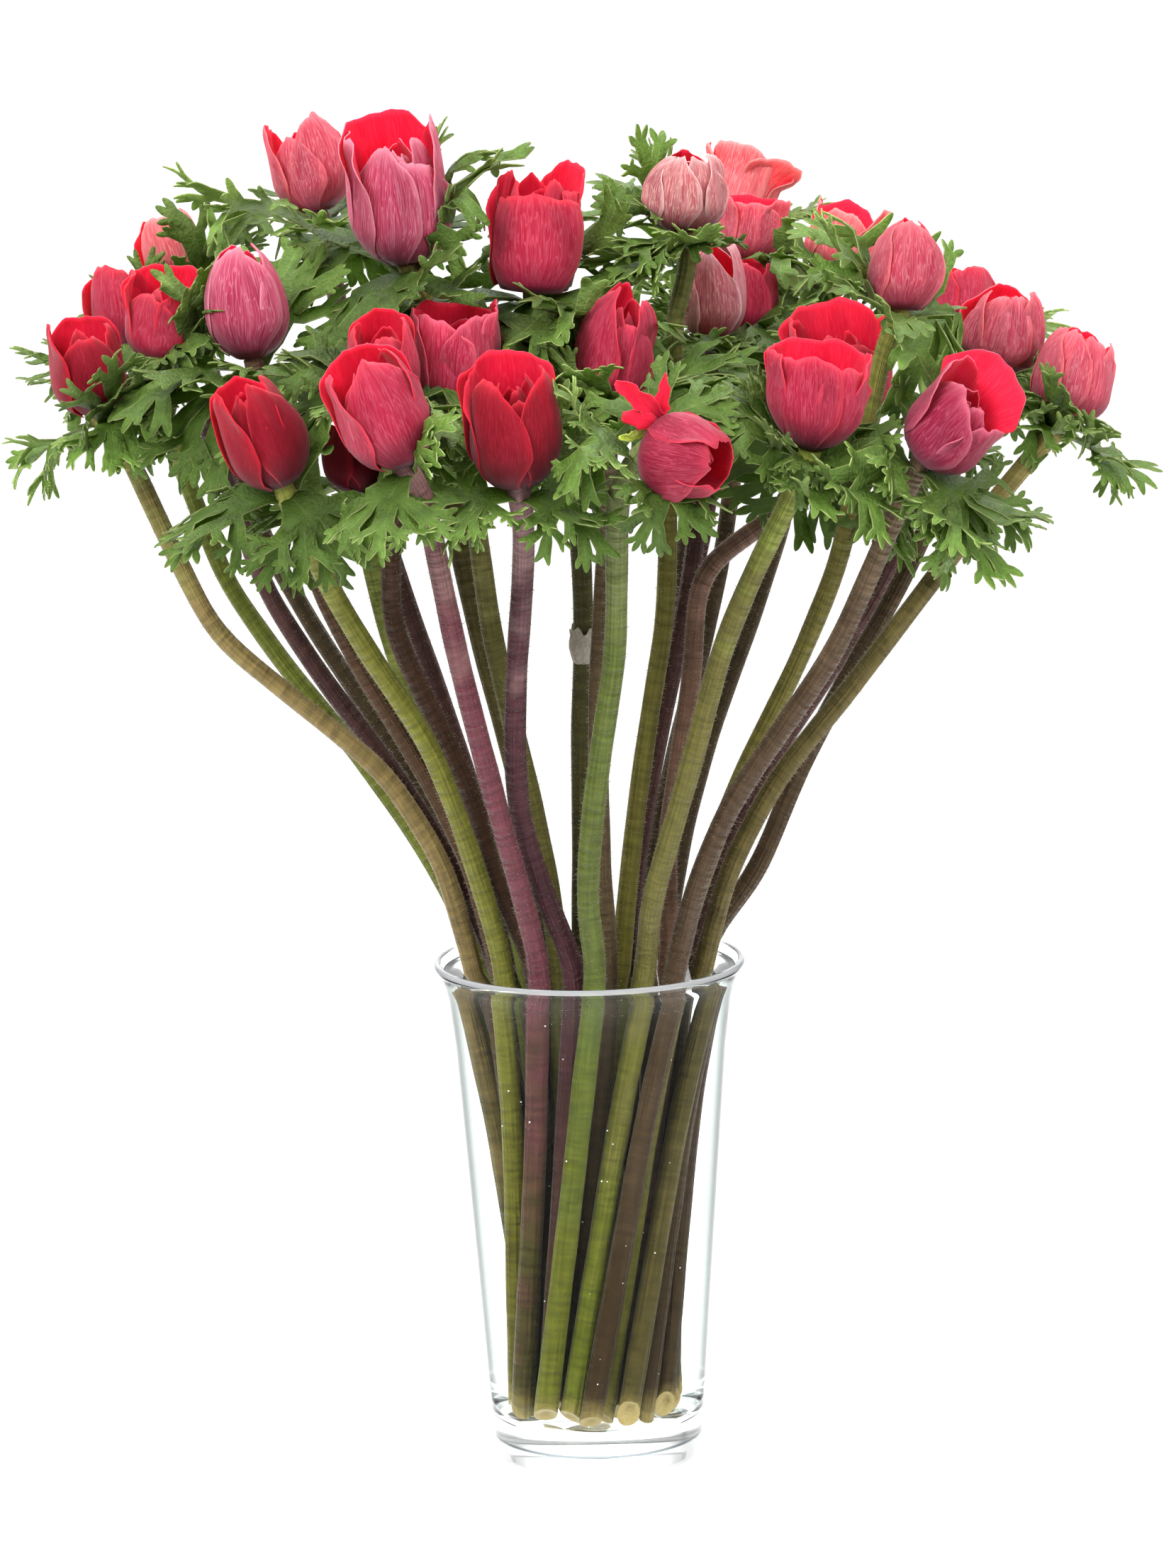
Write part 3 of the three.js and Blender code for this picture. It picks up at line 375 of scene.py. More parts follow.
def flower_list() -> list[Flower]:
    """Lists the flowers by the fields that Flower has after its number.

    Returns:
        The 29 flowers, from left to right along the back and back along the front.
    """
    lime, olive, umber, plum = StemSkin
    scarlet, crimson, coral, mauve, wine = PetalHue
    rows = [
        (
            (-157, -20, 370), (-165, -21, 377), (-12, -10, 100), 33, 25, 0.35, 32, 175,
            (-2, -24, 15), 3.7, olive, scarlet,
        ),
        (
            (-152, 48, 384), (-160, 48, 393), (-5, 10, 100), 30, 25, 0.5, 36, 60, (10, 15, 0), 3.7,
            lime, scarlet,
        ),
        (
            (-132, -6, 384), (-141, -6, 393), (8, -14, 100), 31, 29, 0.75, 38, 205, (5, 12, 20),
            3.7, plum, scarlet,
        ),
        (
            (-107, -30, 385), (-110, -30, 396), (-6, 0, 100), 38, 28, 0, 44, 190, (8, -30, 32), 3.8,
            umber, mauve,
        ),
        (
            (-138, 98, 398), (-142, 100, 409), (-30, 15, 94), 30, 25, 0.4, 40, 300, (20, 0, 15),
            3.6, umber, coral,
        ),
        (
            (-88, 60, 429), (-91, 60, 440), (-19, 10, 98), 33, 28, 0.45, 46, 188, (12, -20, 5), 3.7,
            plum, coral,
        ),
        (
            (-50, -14, 412), (-58, -18, 427), (-5, -24, 97), 48, 34, 0.5, 43, 0, (42, 10, -22), 4,
            umber, crimson,
        ),
        (
            (-14, -19, 405), (-15, -20, 417), (8, -6, 99), 43, 30, 0.6, 46, 185, (4, -28, 20), 3.9,
            olive, scarlet,
        ),
        (
            (40, -6, 425), (37, -5, 435), (7, -5, 100), 26, 28, 0.05, 32, 262, (-22, -12, 32), 3.7,
            olive, mauve,
        ),
        (
            (52, 128, 418), (56, 131, 428), (34, 20, 92), 28, 26, 0.8, 38, 30, (5, 16, -15), 3.7,
            umber, coral,
        ),
        (
            (56, 88, 405), (61, 90, 417), (15, 5, 97), 24, 24, 0.7, 40, 325, (0, -10, 0), 3.6, plum,
            coral,
        ),
        (
            (88, 90, 402), (91, 90, 412), (36, 5, 92), 27, 24, 0.6, 40, 190, (-4, -15, -6), 3.6,
            umber, coral,
        ),
        (
            (102, -60, 400), (108, -60, 411), (8, 0, 100), 29, 24, 0, 40, 165, (24, 0, 5), 3.7,
            lime, coral,
        ),
        (
            (134, 62, 382), (136, 62, 393), (12, 10, 97), 24, 22, 0.5, 38, 310, (10, 0, 10), 3.6,
            plum, scarlet,
        ),
        (
            (139, 10, 370), (145, 10, 382), (17, -2, 98), 30, 28, 0.25, 40, 300, (8, 12, 5), 3.8,
            umber, coral,
        ),
        (
            (157, -10, 357), (166, -10, 367), (24, 5, 96), 32, 27, 0.3, 32, 350, (6, 16, -22), 3.9,
            olive, coral,
        ),
        (
            (107, -97, 356), (112, -101, 366), (54, -42, 66), 34, 28, 0.7, 40, 200, (4, -14, 12), 4,
            umber, wine,
        ),
        (
            (92, -12, 353), (92, -13, 366), (-8, -6, 99), 42, 32, 0.85, 44, 235, (-60, -20, 12),
            3.8, plum, scarlet,
        ),
        (
            (71, -108, 359), (75, -110, 370), (12, -12, 98), 33, 31, 0.8, 40, 180, (16, -8, 26),
            4.1, lime, crimson,
        ),
        (
            (47, 30, 383), (48, 30, 394), (-5, -5, 100), 33, 23, 0.1, 38, 310, (-25, 2, 0), 3.7,
            plum, mauve,
        ),
        (
            (59, 60, 380), (60, 60, 392), (5, 5, 99), 28, 22, 0.4, 36, 20, (0, 20, 10), 3.6, umber,
            crimson,
        ),
        (
            (10, -45, 368), (9, -46, 380), (20, -16, 96), 40, 26, 0.3, 42, 165, (12, -25, 15), 3.9,
            umber, crimson,
        ),
        (
            (12, -129, 364), (22, -134, 374), (76, -52, -16), 27, 27, 0.1, 40, 190, (8, -26, 12),
            4.2, lime, crimson,
        ),
        (
            (-18, -117, 351), (-20, -120, 362), (-5, -17, 98), 40, 29, 0.5, 39, 205, (-6, -8, 22),
            4.1, plum, scarlet,
        ),
        (
            (-38, -50, 366), (-41, -51, 378), (0, -5, 100), 36, 29, 0.8, 42, 65, (12, 12, -25), 3.9,
            olive, wine,
        ),
        (
            (-60, -74, 373), (-63, -76, 385), (-4, -14, 98), 29, 23, 0.45, 36, 170, (25, 10, 0),
            3.8, umber, scarlet,
        ),
        (
            (-50, -126, 361), (-57, -131, 371), (-32, -26, 90), 38, 28, 0.35, 40, 0, (58, 10, -28),
            4.1, plum, crimson,
        ),
        (
            (-93, -99, 350), (-97, -101, 361), (-34, -14, 93), 37, 26, 0.2, 40, 180, (-2, -30, 4),
            4, lime, crimson,
        ),
        (
            (-74, -34, 338), (-75, -33, 350), (-10, 8, 98), 25, 22, 0.4, 36, 90, (5, -5, 10), 3.7,
            lime, wine,
        ),
    ]
    return [Flower(number, *row) for number, row in enumerate(rows, 1)]


# Where the photograph shows a bloom's petals one by one, they are given by Petal's own fields, from
# the outermost in.
KNOWN_PETALS: dict[int, tuple[tuple[float, ...], ...]] = {
    1: (
        (85, 1, 1, 80, 0.5, 0.08, 0.2), (185, 0.98, 1.02, 62, 0.6, 0.12, 0.25),
        (285, 0.84, 1, 64, 0.35, 0, 0.3), (5, 0.92, 0.98, 50, 0.35, 0.05, 0.3),
        (265, 0.92, 0.72, 50, 0.2, 0, 0.4), (120, 0.85, 0.6, 80, 0.1), (330, 0.8, 0.5, 80, 0),
    ),
    3: (
        (95, 1, 1, 90, 0.7, 0.12, 0.16), (170, 0.96, 1, 50, 0.7, 0.08, 0.25),
        (322, 0.94, 1, 66, 0.55, 0.05, 0.22), (236, 0.82, 1.03, 60, 0.45, 0.03, 0.3),
        (60, 0.88, 0.74, 90, 0.3), (210, 0.84, 0.62, 80, 0.2), (320, 0.8, 0.5, 80, 0.1),
    ),
    4: (
        (130, 1, 0.98, 78, 0, 0, 0.3), (5, 0.99, 0.98, 76, 0, 0, 0.28),
        (247, 1, 1.02, 80, 0, 0, 0.26), (90, 0.94, 0.7, 90, 0),
    ),
    6: (
        (60, 0.98, 1, 70, 0.45, 0.05, 0.3), (178, 1, 1, 62, 0.55, 0.06, 0.32),
        (242, 0.8, 0.98, 55, 0.4, 0, 0.32), (312, 1, 1.03, 66, 0.3, 0, 0.34),
        (120, 0.85, 0.65, 80, 0.2), (300, 0.8, 0.5, 80, 0),
    ),
    7: (
        (118, 1.03, 1, 86, 0.62, 0.12, 0.16), (188, 0.97, 1.02, 56, 0.6, 0.14, 0.25),
        (10, 1, 1, 56, 0.5, 0.05, 0.3), (306, 0.77, 0.97, 58, 0.45, 0, 0.22, 0.1),
        (240, 0.86, 1, 56, 0.35, 0, 0.3, -0.1), (335, 0.9, 0.8, 50, 0.35, 0, 0.35),
        (265, 0.84, 0.66, 50, 0.2, 0, 0.4), (70, 0.84, 0.62, 80, 0.15), (190, 0.84, 0.52, 80, 0.1),
        (330, 0.8, 0.42, 80, 0),
    ),
    8: (
        (35, 1, 0.98, 52, 0.75, 0.1, 0.22), (150, 0.88, 1, 46, 0.75, 0.02, 0.3),
        (262, 0.76, 1.02, 88, 0.7, 0, 0.08), (345, 0.8, 0.96, 46, 0.7, 0, 0.2),
        (95, 0.86, 0.8, 50, 0.55, 0, 0.35), (325, 0.87, 0.72, 48, 0.5, 0, 0.4, 0.1),
        (205, 0.83, 0.7, 42, 0.45, 0, 0.45), (60, 0.8, 0.5, 90, 0.2), (240, 0.76, 0.4, 90, 0.1),
    ),
    9: (
        (95, 1, 1, 75, 0.1, 0, 0.3), (186, 0.96, 1, 56, 0.05, 0, 0.35),
        (350, 1, 1.04, 52, 0.25, 0.04, 0.3), (298, 0.97, 0.98, 44, 0.05, 0, 0.32),
        (242, 0.98, 1.02, 52, 0.02, 0, 0.34, -0.05), (60, 0.9, 0.6, 90, 0),
    ),
    10: (
        (80, 1, 1, 70, 0.9, 0.15, 0.25), (175, 0.95, 1, 50, 0.9, 0.2, 0.3),
        (250, 1, 1, 58, 0.9, 0.12, 0.12), (325, 0.95, 1, 55, 1, 0.35, 0.15),
        (10, 0.9, 0.98, 50, 1, 0.4, 0.2), (150, 0.8, 0.6, 80, 0.4), (300, 0.75, 0.5, 80, 0.2),
    ),
    11: (
        (90, 1, 1, 85, 0.8, 0.1, 0.15), (195, 0.96, 1, 50, 0.8, 0.1, 0.2),
        (265, 0.9, 1, 55, 0.7, 0.05, 0.15), (340, 1, 1, 52, 0.8, 0.1, 0.15),
        (60, 0.85, 0.7, 85, 0.4), (250, 0.8, 0.6, 85, 0.3),
    ),
    12: (
        (80, 1, 1, 70, 0.8, 0.1, 0.3), (175, 0.9, 1, 55, 0.8, 0.1, 0.3),
        (262, 0.86, 1, 62, 0.7, 0.05, 0.3), (340, 1.04, 1, 50, 0.8, 0.15, 0.3),
        (50, 0.85, 0.6, 80, 0.4), (250, 0.8, 0.5, 80, 0.2),
    ),
    13: (
        (100, 1, 0.98, 80, 0.02, 0, 0.24), (5, 1, 0.98, 66, 0.05, 0, 0.24),
        (180, 0.98, 0.98, 60, 0, 0, 0.26), (262, 1, 1.03, 76, 0, 0, 0.22), (90, 0.9, 0.6, 90, 0),
    ),
    15: (
        (90, 1, 1, 80, 0.3, 0.02, 0.28), (180, 0.95, 0.98, 55, 0.25, 0, 0.3),
        (345, 1, 1, 58, 0.3, 0.03, 0.22), (300, 0.94, 0.98, 50, 0.25, 0, 0.25),
        (240, 0.9, 1.03, 66, 0.2, 0, 0.26, -0.1), (80, 0.9, 0.6, 90, 0.1), (260, 0.85, 0.5, 90, 0),
    ),
    16: (
        (90, 1, 1, 76, 0.35, 0.02, 0.3), (5, 0.93, 1.03, 60, 0.4, 0.05, 0.25),
        (192, 0.98, 1, 56, 0.3, 0, 0.3), (240, 1, 1, 50, 0.25, 0, 0.34),
        (305, 0.94, 1.02, 58, 0.3, 0, 0.24), (60, 0.9, 0.6, 90, 0.1), (250, 0.85, 0.5, 90, 0),
    ),
    17: (
        (144, 1, 1, 72, 0.6, 0.1, 0.25), (64, 1.02, 1, 62, 0.85, 0.35, 0.25),
        (322, 0.78, 1.02, 60, 0.6, 0.08, 0.28), (228, 0.93, 1.03, 66, 0.4, 0, 0.26),
        (282, 0.86, 0.88, 46, 0.4, 0, 0.3), (120, 0.82, 0.66, 80, 0.25), (230, 0.8, 0.56, 76, 0.15),
        (350, 0.78, 0.5, 80, 0.1), (100, 0.74, 0.36, 90, 0),
    ),
    18: (
        (92, 1, 1, 80, 0.9, 0.1, 0.14), (176, 0.95, 1, 54, 0.85, 0.05, 0.2),
        (12, 0.9, 1, 58, 0.9, 0.08, 0.2), (270, 0.72, 1, 76, 0.7, 0, 0.2),
        (240, 0.8, 0.66, 66, 0.3, 0, 0.35), (30, 0.78, 0.55, 80, 0.2), (140, 0.76, 0.4, 90, 0),
    ),
    19: (
        (90, 1, 1, 90, 0.85, 0.06, 0.1), (172, 0.98, 1, 52, 0.85, 0.06, 0.18),
        (5, 1, 1, 56, 0.85, 0.08, 0.2), (318, 0.88, 1, 56, 0.75, 0.02, 0.2, 0.08),
        (238, 0.97, 1.04, 60, 0.8, 0.02, 0.14, -0.12), (280, 0.84, 0.8, 56, 0.5),
        (60, 0.82, 0.66, 90, 0.3), (200, 0.8, 0.52, 90, 0.2), (320, 0.76, 0.4, 90, 0.1),
    ),
    20: (
        (80, 1, 1, 70, 0.2, 0, 0.3), (355, 1, 1.04, 44, 0.35, 0.05, 0.3),
        (190, 0.94, 1, 56, 0.05, 0, 0.34), (262, 0.97, 1.02, 66, 0, 0, 0.34),
        (90, 0.88, 0.6, 90, 0),
    ),
    21: (
        (90, 1, 1, 75, 0.5, 0.05, 0.3), (185, 0.93, 1, 56, 0.4, 0, 0.34),
        (345, 0.96, 1, 58, 0.45, 0.03, 0.3), (262, 0.97, 1, 54, 0.35, 0, 0.3),
        (60, 0.85, 0.6, 85, 0.2), (250, 0.8, 0.5, 85, 0),
    ),
    22: (
        (110, 1.04, 0.92, 64, 0.05, 0, 0.5), (345, 0.93, 0.96, 50, 0.3, 0.02, 0.34),
        (212, 1, 1.02, 66, 0.02, 0, 0.46), (292, 0.74, 0.98, 52, 0.3, 0, 0.2),
        (60, 0.9, 0.8, 60, 0.2, 0, 0.4), (250, 0.86, 0.7, 50, 0.05), (320, 0.8, 0.52, 80, 0.05),
        (150, 0.8, 0.42, 90, 0),
    ),
    23: (
        (139, 1, 1, 70, 0.12, 0.1, 0.2), (49, 1, 1, 75, 0.15, 0.1, 0.25),
        (319, 1, 1, 66, 0.15, 0.12, 0.2), (229, 1, 1.04, 80, 0, 0, 0.3), (100, 0.85, 0.7, 80, 0),
        (300, 0.82, 0.6, 80, 0), (200, 0.8, 0.5, 80, 0),
    ),
    24: (
        (97, 1, 1.02, 90, 0.6, 0.12, 0.14), (176, 0.96, 1, 46, 0.55, 0.1, 0.25),
        (335, 0.95, 1, 56, 0.55, 0.02, 0.3, -0.1), (232, 0.9, 1.03, 62, 0.35, 0, 0.34),
        (284, 0.72, 0.86, 46, 0.3, 0, 0.2), (20, 0.86, 0.72, 66, 0.3, 0, 0.35),
        (200, 0.84, 0.66, 66, 0.15, 0, 0.35), (300, 0.82, 0.52, 70, 0.1, 0, 0.4),
        (90, 0.78, 0.4, 90, 0),
    ),
    25: (
        (90, 1, 1, 80, 0.8, 0.03, 0.12), (180, 0.97, 1, 56, 0.8, 0.03, 0.15),
        (0, 1, 1, 56, 0.85, 0.03, 0.12), (238, 0.93, 1.02, 58, 0.75, 0, 0.16, 0.08),
        (302, 0.92, 1.02, 56, 0.75, 0, 0.14, -0.08), (60, 0.84, 0.66, 90, 0.4),
        (240, 0.8, 0.5, 90, 0.2),
    ),
    26: (
        (88, 1.02, 1, 80, 0.45, 0.04, 0.2), (180, 0.9, 1, 55, 0.4, 0.03, 0.28),
        (350, 0.95, 1, 56, 0.4, 0.03, 0.26), (245, 0.74, 1, 60, 0.35, 0, 0.2),
        (295, 0.78, 0.97, 56, 0.35, 0, 0.24), (70, 0.85, 0.6, 85, 0.1), (250, 0.76, 0.5, 85, 0),
    ),
    27: (
        (110, 1, 1, 84, 0.5, 0.1, 0.2), (196, 0.92, 1.02, 56, 0.5, 0.12, 0.25),
        (28, 0.96, 0.99, 54, 0.35, 0.04, 0.25), (298, 0.97, 1.04, 78, 0.2, 0, 0.3, 0.06),
        (236, 0.84, 0.84, 46, 0.25, 0, 0.3), (170, 0.86, 0.62, 76, 0.15), (240, 0.84, 0.5, 70, 0.1),
        (60, 0.8, 0.4, 90, 0),
    ),
    28: (
        (118, 1, 1, 78, 0.35, 0.06, 0.22), (202, 0.96, 1.02, 58, 0.32, 0.1, 0.26),
        (12, 0.95, 1, 56, 0.25, 0.02, 0.28), (308, 0.93, 1, 54, 0.15, 0, 0.3, 0.12),
        (252, 0.88, 0.86, 46, 0.15, 0, 0.34), (120, 0.86, 0.6, 80, 0.1), (240, 0.82, 0.5, 80, 0),
    ),
}

# Blooms that are broader or narrower at their base than most, as a share of their width.
FULL_BASES = {8: 0.82, 9: 0.5, 13: 0.6, 19: 0.22, 24: 0.52, 25: 0.62, 27: 0.5, 28: 0.44}

# Blooms that are widest higher up than most, as a share of their length.
HIGH_BELLIES = {18: 0.5, 19: 0.56, 25: 0.5}

# Further leaves, as bearing, lift and size, where the photograph shows the green band closed or a
# leaf before the base of a bloom.
FURTHER_LEAVES: dict[int, tuple[Spot, ...]] = {
    1: ((305, 16, 1),),
    3: ((312, 16, 0.9),),
    4: ((250, -20, 1),),
    5: ((285, 12, 0.8),),
    8: ((215, -26, 1), (332, -24, 1), (262, -52, 1)),
    9: ((215, -30, 1), (295, -6, 0.7)),
    16: ((242, 14, 1),),
    17: ((320, -24, 1),),
    18: ((300, -20, 1),),
    19: ((250, 14, 0.62),),
    20: ((250, 0, 0.6),),
    22: ((228, -22, 1), (345, 22, 0.9), (262, 18, 0.7)),
    25: ((200, -16, 1), (330, -30, 1)),
}

# How far right of its solid a stem stands, and the heights from and to which it gets there and
# back. They close the gap at the vase's rim and clear bloom 20, as in the photograph.
NUDGES: dict[int, tuple[tuple[float, ...], ...]] = {
    22: ((3.1, 60, 170, 225, 320),),
    9: ((-1.5, 60, 170, 225, 320), (-5.5, 290, 372, 402, 430)),
}

# The blooms that a flower's leaves may stand before, by its number.
COVERED: dict[int, tuple[int, ...]] = {
    1: (1,), 3: (3, 4), 5: (5,), 7: (26,), 9: (9,), 13: (19,), 16: (16,), 19: (19,), 20: (20,),
    22: (22,),
}


# ---- materials ----


# The values that petals, leaves and stems keep on their corners.
CORNER_VALUES = ("across", "along", "tint")


class Finish:
    """A finish that its own nodes make.

    Attributes:
        name: the material's name.
    """

    name: str

    def shader(self, tree: Tree) -> Socket:
        """Adds its nodes and returns its shader."""
        raise NotImplementedError

    def make(self) -> bpy.types.Material:
        """Makes the material.

        Returns:
            The material.
        """
        material = bpy.data.materials.new(self.name)
        material.use_nodes = True
        material.node_tree.nodes.clear()
        add_node(material.node_tree, "OutputMaterial", {0: self.shader(material.node_tree)})
        return material


@dataclass(frozen=True)
class PetalTissue(Finish):
    """Fresh anemone petal: thin silky tissue with fine veins, which lets light through.

    Attributes:
        name: the material's name.
        body: colour of most of it.
        vein: colour of its veins and pale streaks.
        heel: colour at its base, darker: partly its own dark base, partly painted shade.
        glow: colour of light that comes through it.
        rim: colour painted on its thin edges: a painted glow of the light through them.
        streak: how much the streaks show.
        through: share of light that comes through.
    """

    name: str
    body: str
    vein: str
    heel: str
    glow: str
    rim: str
    streak: float = 0.5
    through: float = 0.35

    def shader(self, tree: Tree) -> Socket:
        """Adds veins, silk hairs, a heel with painted shade, clouds and painted glow on its edges.

        Args:
            tree: the material's node tree.

        Returns:
            Its shader.
        """
        across, along, tint = (
            add_node(tree, "Attribute", None, "Fac", attribute_name=name)
            for name in CORNER_VALUES
        )
        # A petal is about 35 mm wide. Its veins lie 0.3 mm apart and fan out from its base.
        wide = add_node(tree, "Math", {0: across, 1: 58.0}, operation="MULTIPLY")
        tall = add_node(tree, "Math", {0: along, 1: 2.6}, operation="MULTIPLY")
        seed = add_node(tree, "Math", {0: tint, 1: 17.0}, operation="MULTIPLY")
        place = add_node(tree, "CombineXYZ", {0: wide, 1: tall, 2: seed})
        fanned = {0: place, "Scale": 1.0, "Detail": 2.0, "Roughness": 0.6, "Distortion": 0.6}
        veins = add_node(tree, "TexNoise", fanned)
        # Silky streaks, about 2 mm wide, run beside them. Pale silk hairs lie along them, about
        # 1 mm apart, where real ones are finer than the eye can part. Soft clouds, a third of a
        # petal wide, keep it from being one red.
        drawn = []
        for draw, detail, swirl in (
            ((0.16, 0.6, 1.0), 2.0, 0.5),
            ((0.4, 1.5, 1.0), 1.0, 0.5),
            ((0.038, 0.8, 1.0), 2.0, 0.0),
        ):
            at = add_node(tree, "VectorMath", {0: place, 1: draw}, operation="MULTIPLY")
            grain = {0: at, "Scale": 1.0, "Detail": detail, "Distortion": swirl}
            drawn.append(add_node(tree, "TexNoise", grain))
        silk, hairs, clouds = drawn
        woven = add_node(tree, "Mix", {0: 0.32, 2: veins, 3: silk}, data_type="FLOAT")
        lines = add_node(tree, "ValToRGB", {0: woven}, stops=[(0.46, BLACK), (0.66, WHITE)])
        strength = add_node(tree, "Math", {0: lines, 1: self.streak}, operation="MULTIPLY")
        comb = [(0.43, BLACK), (0.5, WHITE), (0.57, BLACK)]
        hairs = add_node(tree, "ValToRGB", {0: hairs}, stops=comb)
        hairs = add_node(tree, "Math", {0: hairs, 1: self.streak * 1.6}, operation="MULTIPLY")
        pale = {0: strength, 1: hairs}
        pale = add_node(tree, "Math", pale, operation="MAXIMUM", use_clamp=True)
        tissue = {0: pale, 6: linear(self.body), 7: linear(self.vein)}
        tissue = add_node(tree, "Mix", tissue, 2, data_type="RGBA")
        # The heel, partly the petal's own dark base and partly painted shade, fades into the body
        # over the lower third.
        fade = [(0.02, WHITE), (0.12, (0.5, 0.5, 0.5, 1.0)), (0.38, BLACK)]
        fade = add_node(tree, "ValToRGB", {0: along}, stops=fade)
        heeled = {0: fade, 6: tissue, 7: linear(self.heel)}
        heeled = add_node(tree, "Mix", heeled, 2, data_type="RGBA")
        # The clouds and the petal's own shade make it lighter or darker.
        level = add_node(tree, "MapRange", {0: clouds, 1: 0.3, 2: 0.7, 3: 0.84, 4: 1.14})
        own = add_node(tree, "MapRange", {0: tint, 3: 0.84, 4: 1.14})
        level = add_node(tree, "Math", {0: level, 1: own}, operation="MULTIPLY")
        shaded = {0: 1.0, 6: heeled, 7: level}
        shaded = add_node(tree, "Mix", shaded, 2, data_type="RGBA", blend_type="MULTIPLY")
        # The last millimetre at the edges is painted in the rim colour: a painted glow of the
        # light that comes through the thin edges.
        aside = add_node(tree, "Math", {0: across}, operation="ABSOLUTE")
        side_painted_glow = add_node(tree, "Math", {0: aside, 1: 16.0}, operation="POWER")
        top_painted_glow = add_node(tree, "Math", {0: along, 1: 20.0}, operation="POWER")
        rim = add_node(tree, "Math", {0: side_painted_glow, 1: top_painted_glow}, operation="MAXIMUM")
        rim = add_node(tree, "Math", {0: rim, 1: 0.75}, operation="MULTIPLY")
        colour = {0: rim, 6: shaded, 7: linear(self.rim)}
        colour = add_node(tree, "Mix", colour, 2, data_type="RGBA")
        relief = {"Strength": 0.55, "Distance": 0.6 * MM, "Height": woven}
        skin = {
            0: colour, "Roughness": 0.5, "IOR": 1.42, "Specular IOR Level": 0.3,
            "Sheen Weight": 0.25, "Sheen Roughness": 0.4, "Sheen Tint": (1.0, 0.72, 0.78, 1.0),
            "Normal": add_node(tree, "Bump", relief),
        }
        skin = add_node(tree, "BsdfPrincipled", skin)
        glow = add_node(tree, "Mix", {0: 0.6, 6: colour, 7: linear(self.glow)}, 2, data_type="RGBA")
        through = add_node(tree, "BsdfTranslucent", {0: glow})
        return add_node(tree, "MixShader", {0: self.through, 1: skin, 2: through})


@dataclass(frozen=True)
class LeafTissue(Finish):
    """Fresh cut leaf: green blade, pale rib, painted backlit edges; it lets light through.

    Attributes:
        name: the material's name.
        body: colour of most of it.
        rib: colour of its rib.
        edge: colour of its edges, painted paler: painted backlight.
        gloss: its roughness.
        through: share of light that comes through.
    """

    name: str
    body: str
    rib: str
    edge: str
    gloss: float
    through: float = 0.34

    def shader(self, tree: Tree) -> Socket:
        """Adds rib, patches, painted backlit edges, painted shade and highlight, and side veins.

        Args:
            tree: the material's node tree.

        Returns:
            Its shader.
        """
        across, along, tint = (
            add_node(tree, "Attribute", None, "Fac", attribute_name=name)
            for name in CORNER_VALUES
        )
        place = add_node(tree, "TexCoord", None, "Object")
        body = linear(self.body)
        # The edge colour is painted paler than the blade: painted backlight on the thin edges.
        blade = [(0.0, linear(self.rib)), (0.1, body), (0.9, body), (1.0, linear(self.edge))]
        blade = add_node(tree, "ValToRGB", {0: across}, stops=blade)
        # Patches of lighter and darker tissue about 8 mm wide.
        patches = {0: place, "Scale": 120.0, "Detail": 3.0, "Roughness": 0.6}
        patches = add_node(tree, "TexNoise", patches)
        level = add_node(tree, "MapRange", {0: patches, 1: 0.3, 2: 0.7, 3: 0.66, 4: 1.3})
        own = add_node(tree, "MapRange", {0: tint, 3: 0.6, 4: 1.35})
        # Painted shade and highlight: darker towards the leaf's base, deep in the bouquet, and
        # paler towards its tip.
        painted_shade_and_tip_light = add_node(tree, "MapRange", {0: along, 1: 0.1, 2: 1.0, 3: 0.56, 4: 1.34})
        for more in (own, painted_shade_and_tip_light):
            level = add_node(tree, "Math", {0: level, 1: more}, operation="MULTIPLY")
        colour = {0: 1.0, 6: blade, 7: level}
        colour = add_node(tree, "Mix", colour, 2, data_type="RGBA", blend_type="MULTIPLY")
        # Side veins, about 1.2 mm apart.
        fine = add_node(tree, "TexNoise", {0: place, "Scale": 850.0, "Detail": 2.0})
        relief = {"Strength": 0.7, "Distance": 1.4 * MM, "Height": fine}
        skin = {
            0: colour, "Roughness": self.gloss, "IOR": 1.42, "Specular IOR Level": 0.42,
            "Normal": add_node(tree, "Bump", relief),
        }
        skin = add_node(tree, "BsdfPrincipled", skin)
        glow = add_node(tree, "Mix", {0: 0.5, 6: colour, 7: linear("a6cc3c")}, 2, data_type="RGBA")
        through = add_node(tree, "BsdfTranslucent", {0: glow})
        return add_node(tree, "MixShader", {0: self.through, 1: skin, 2: through})


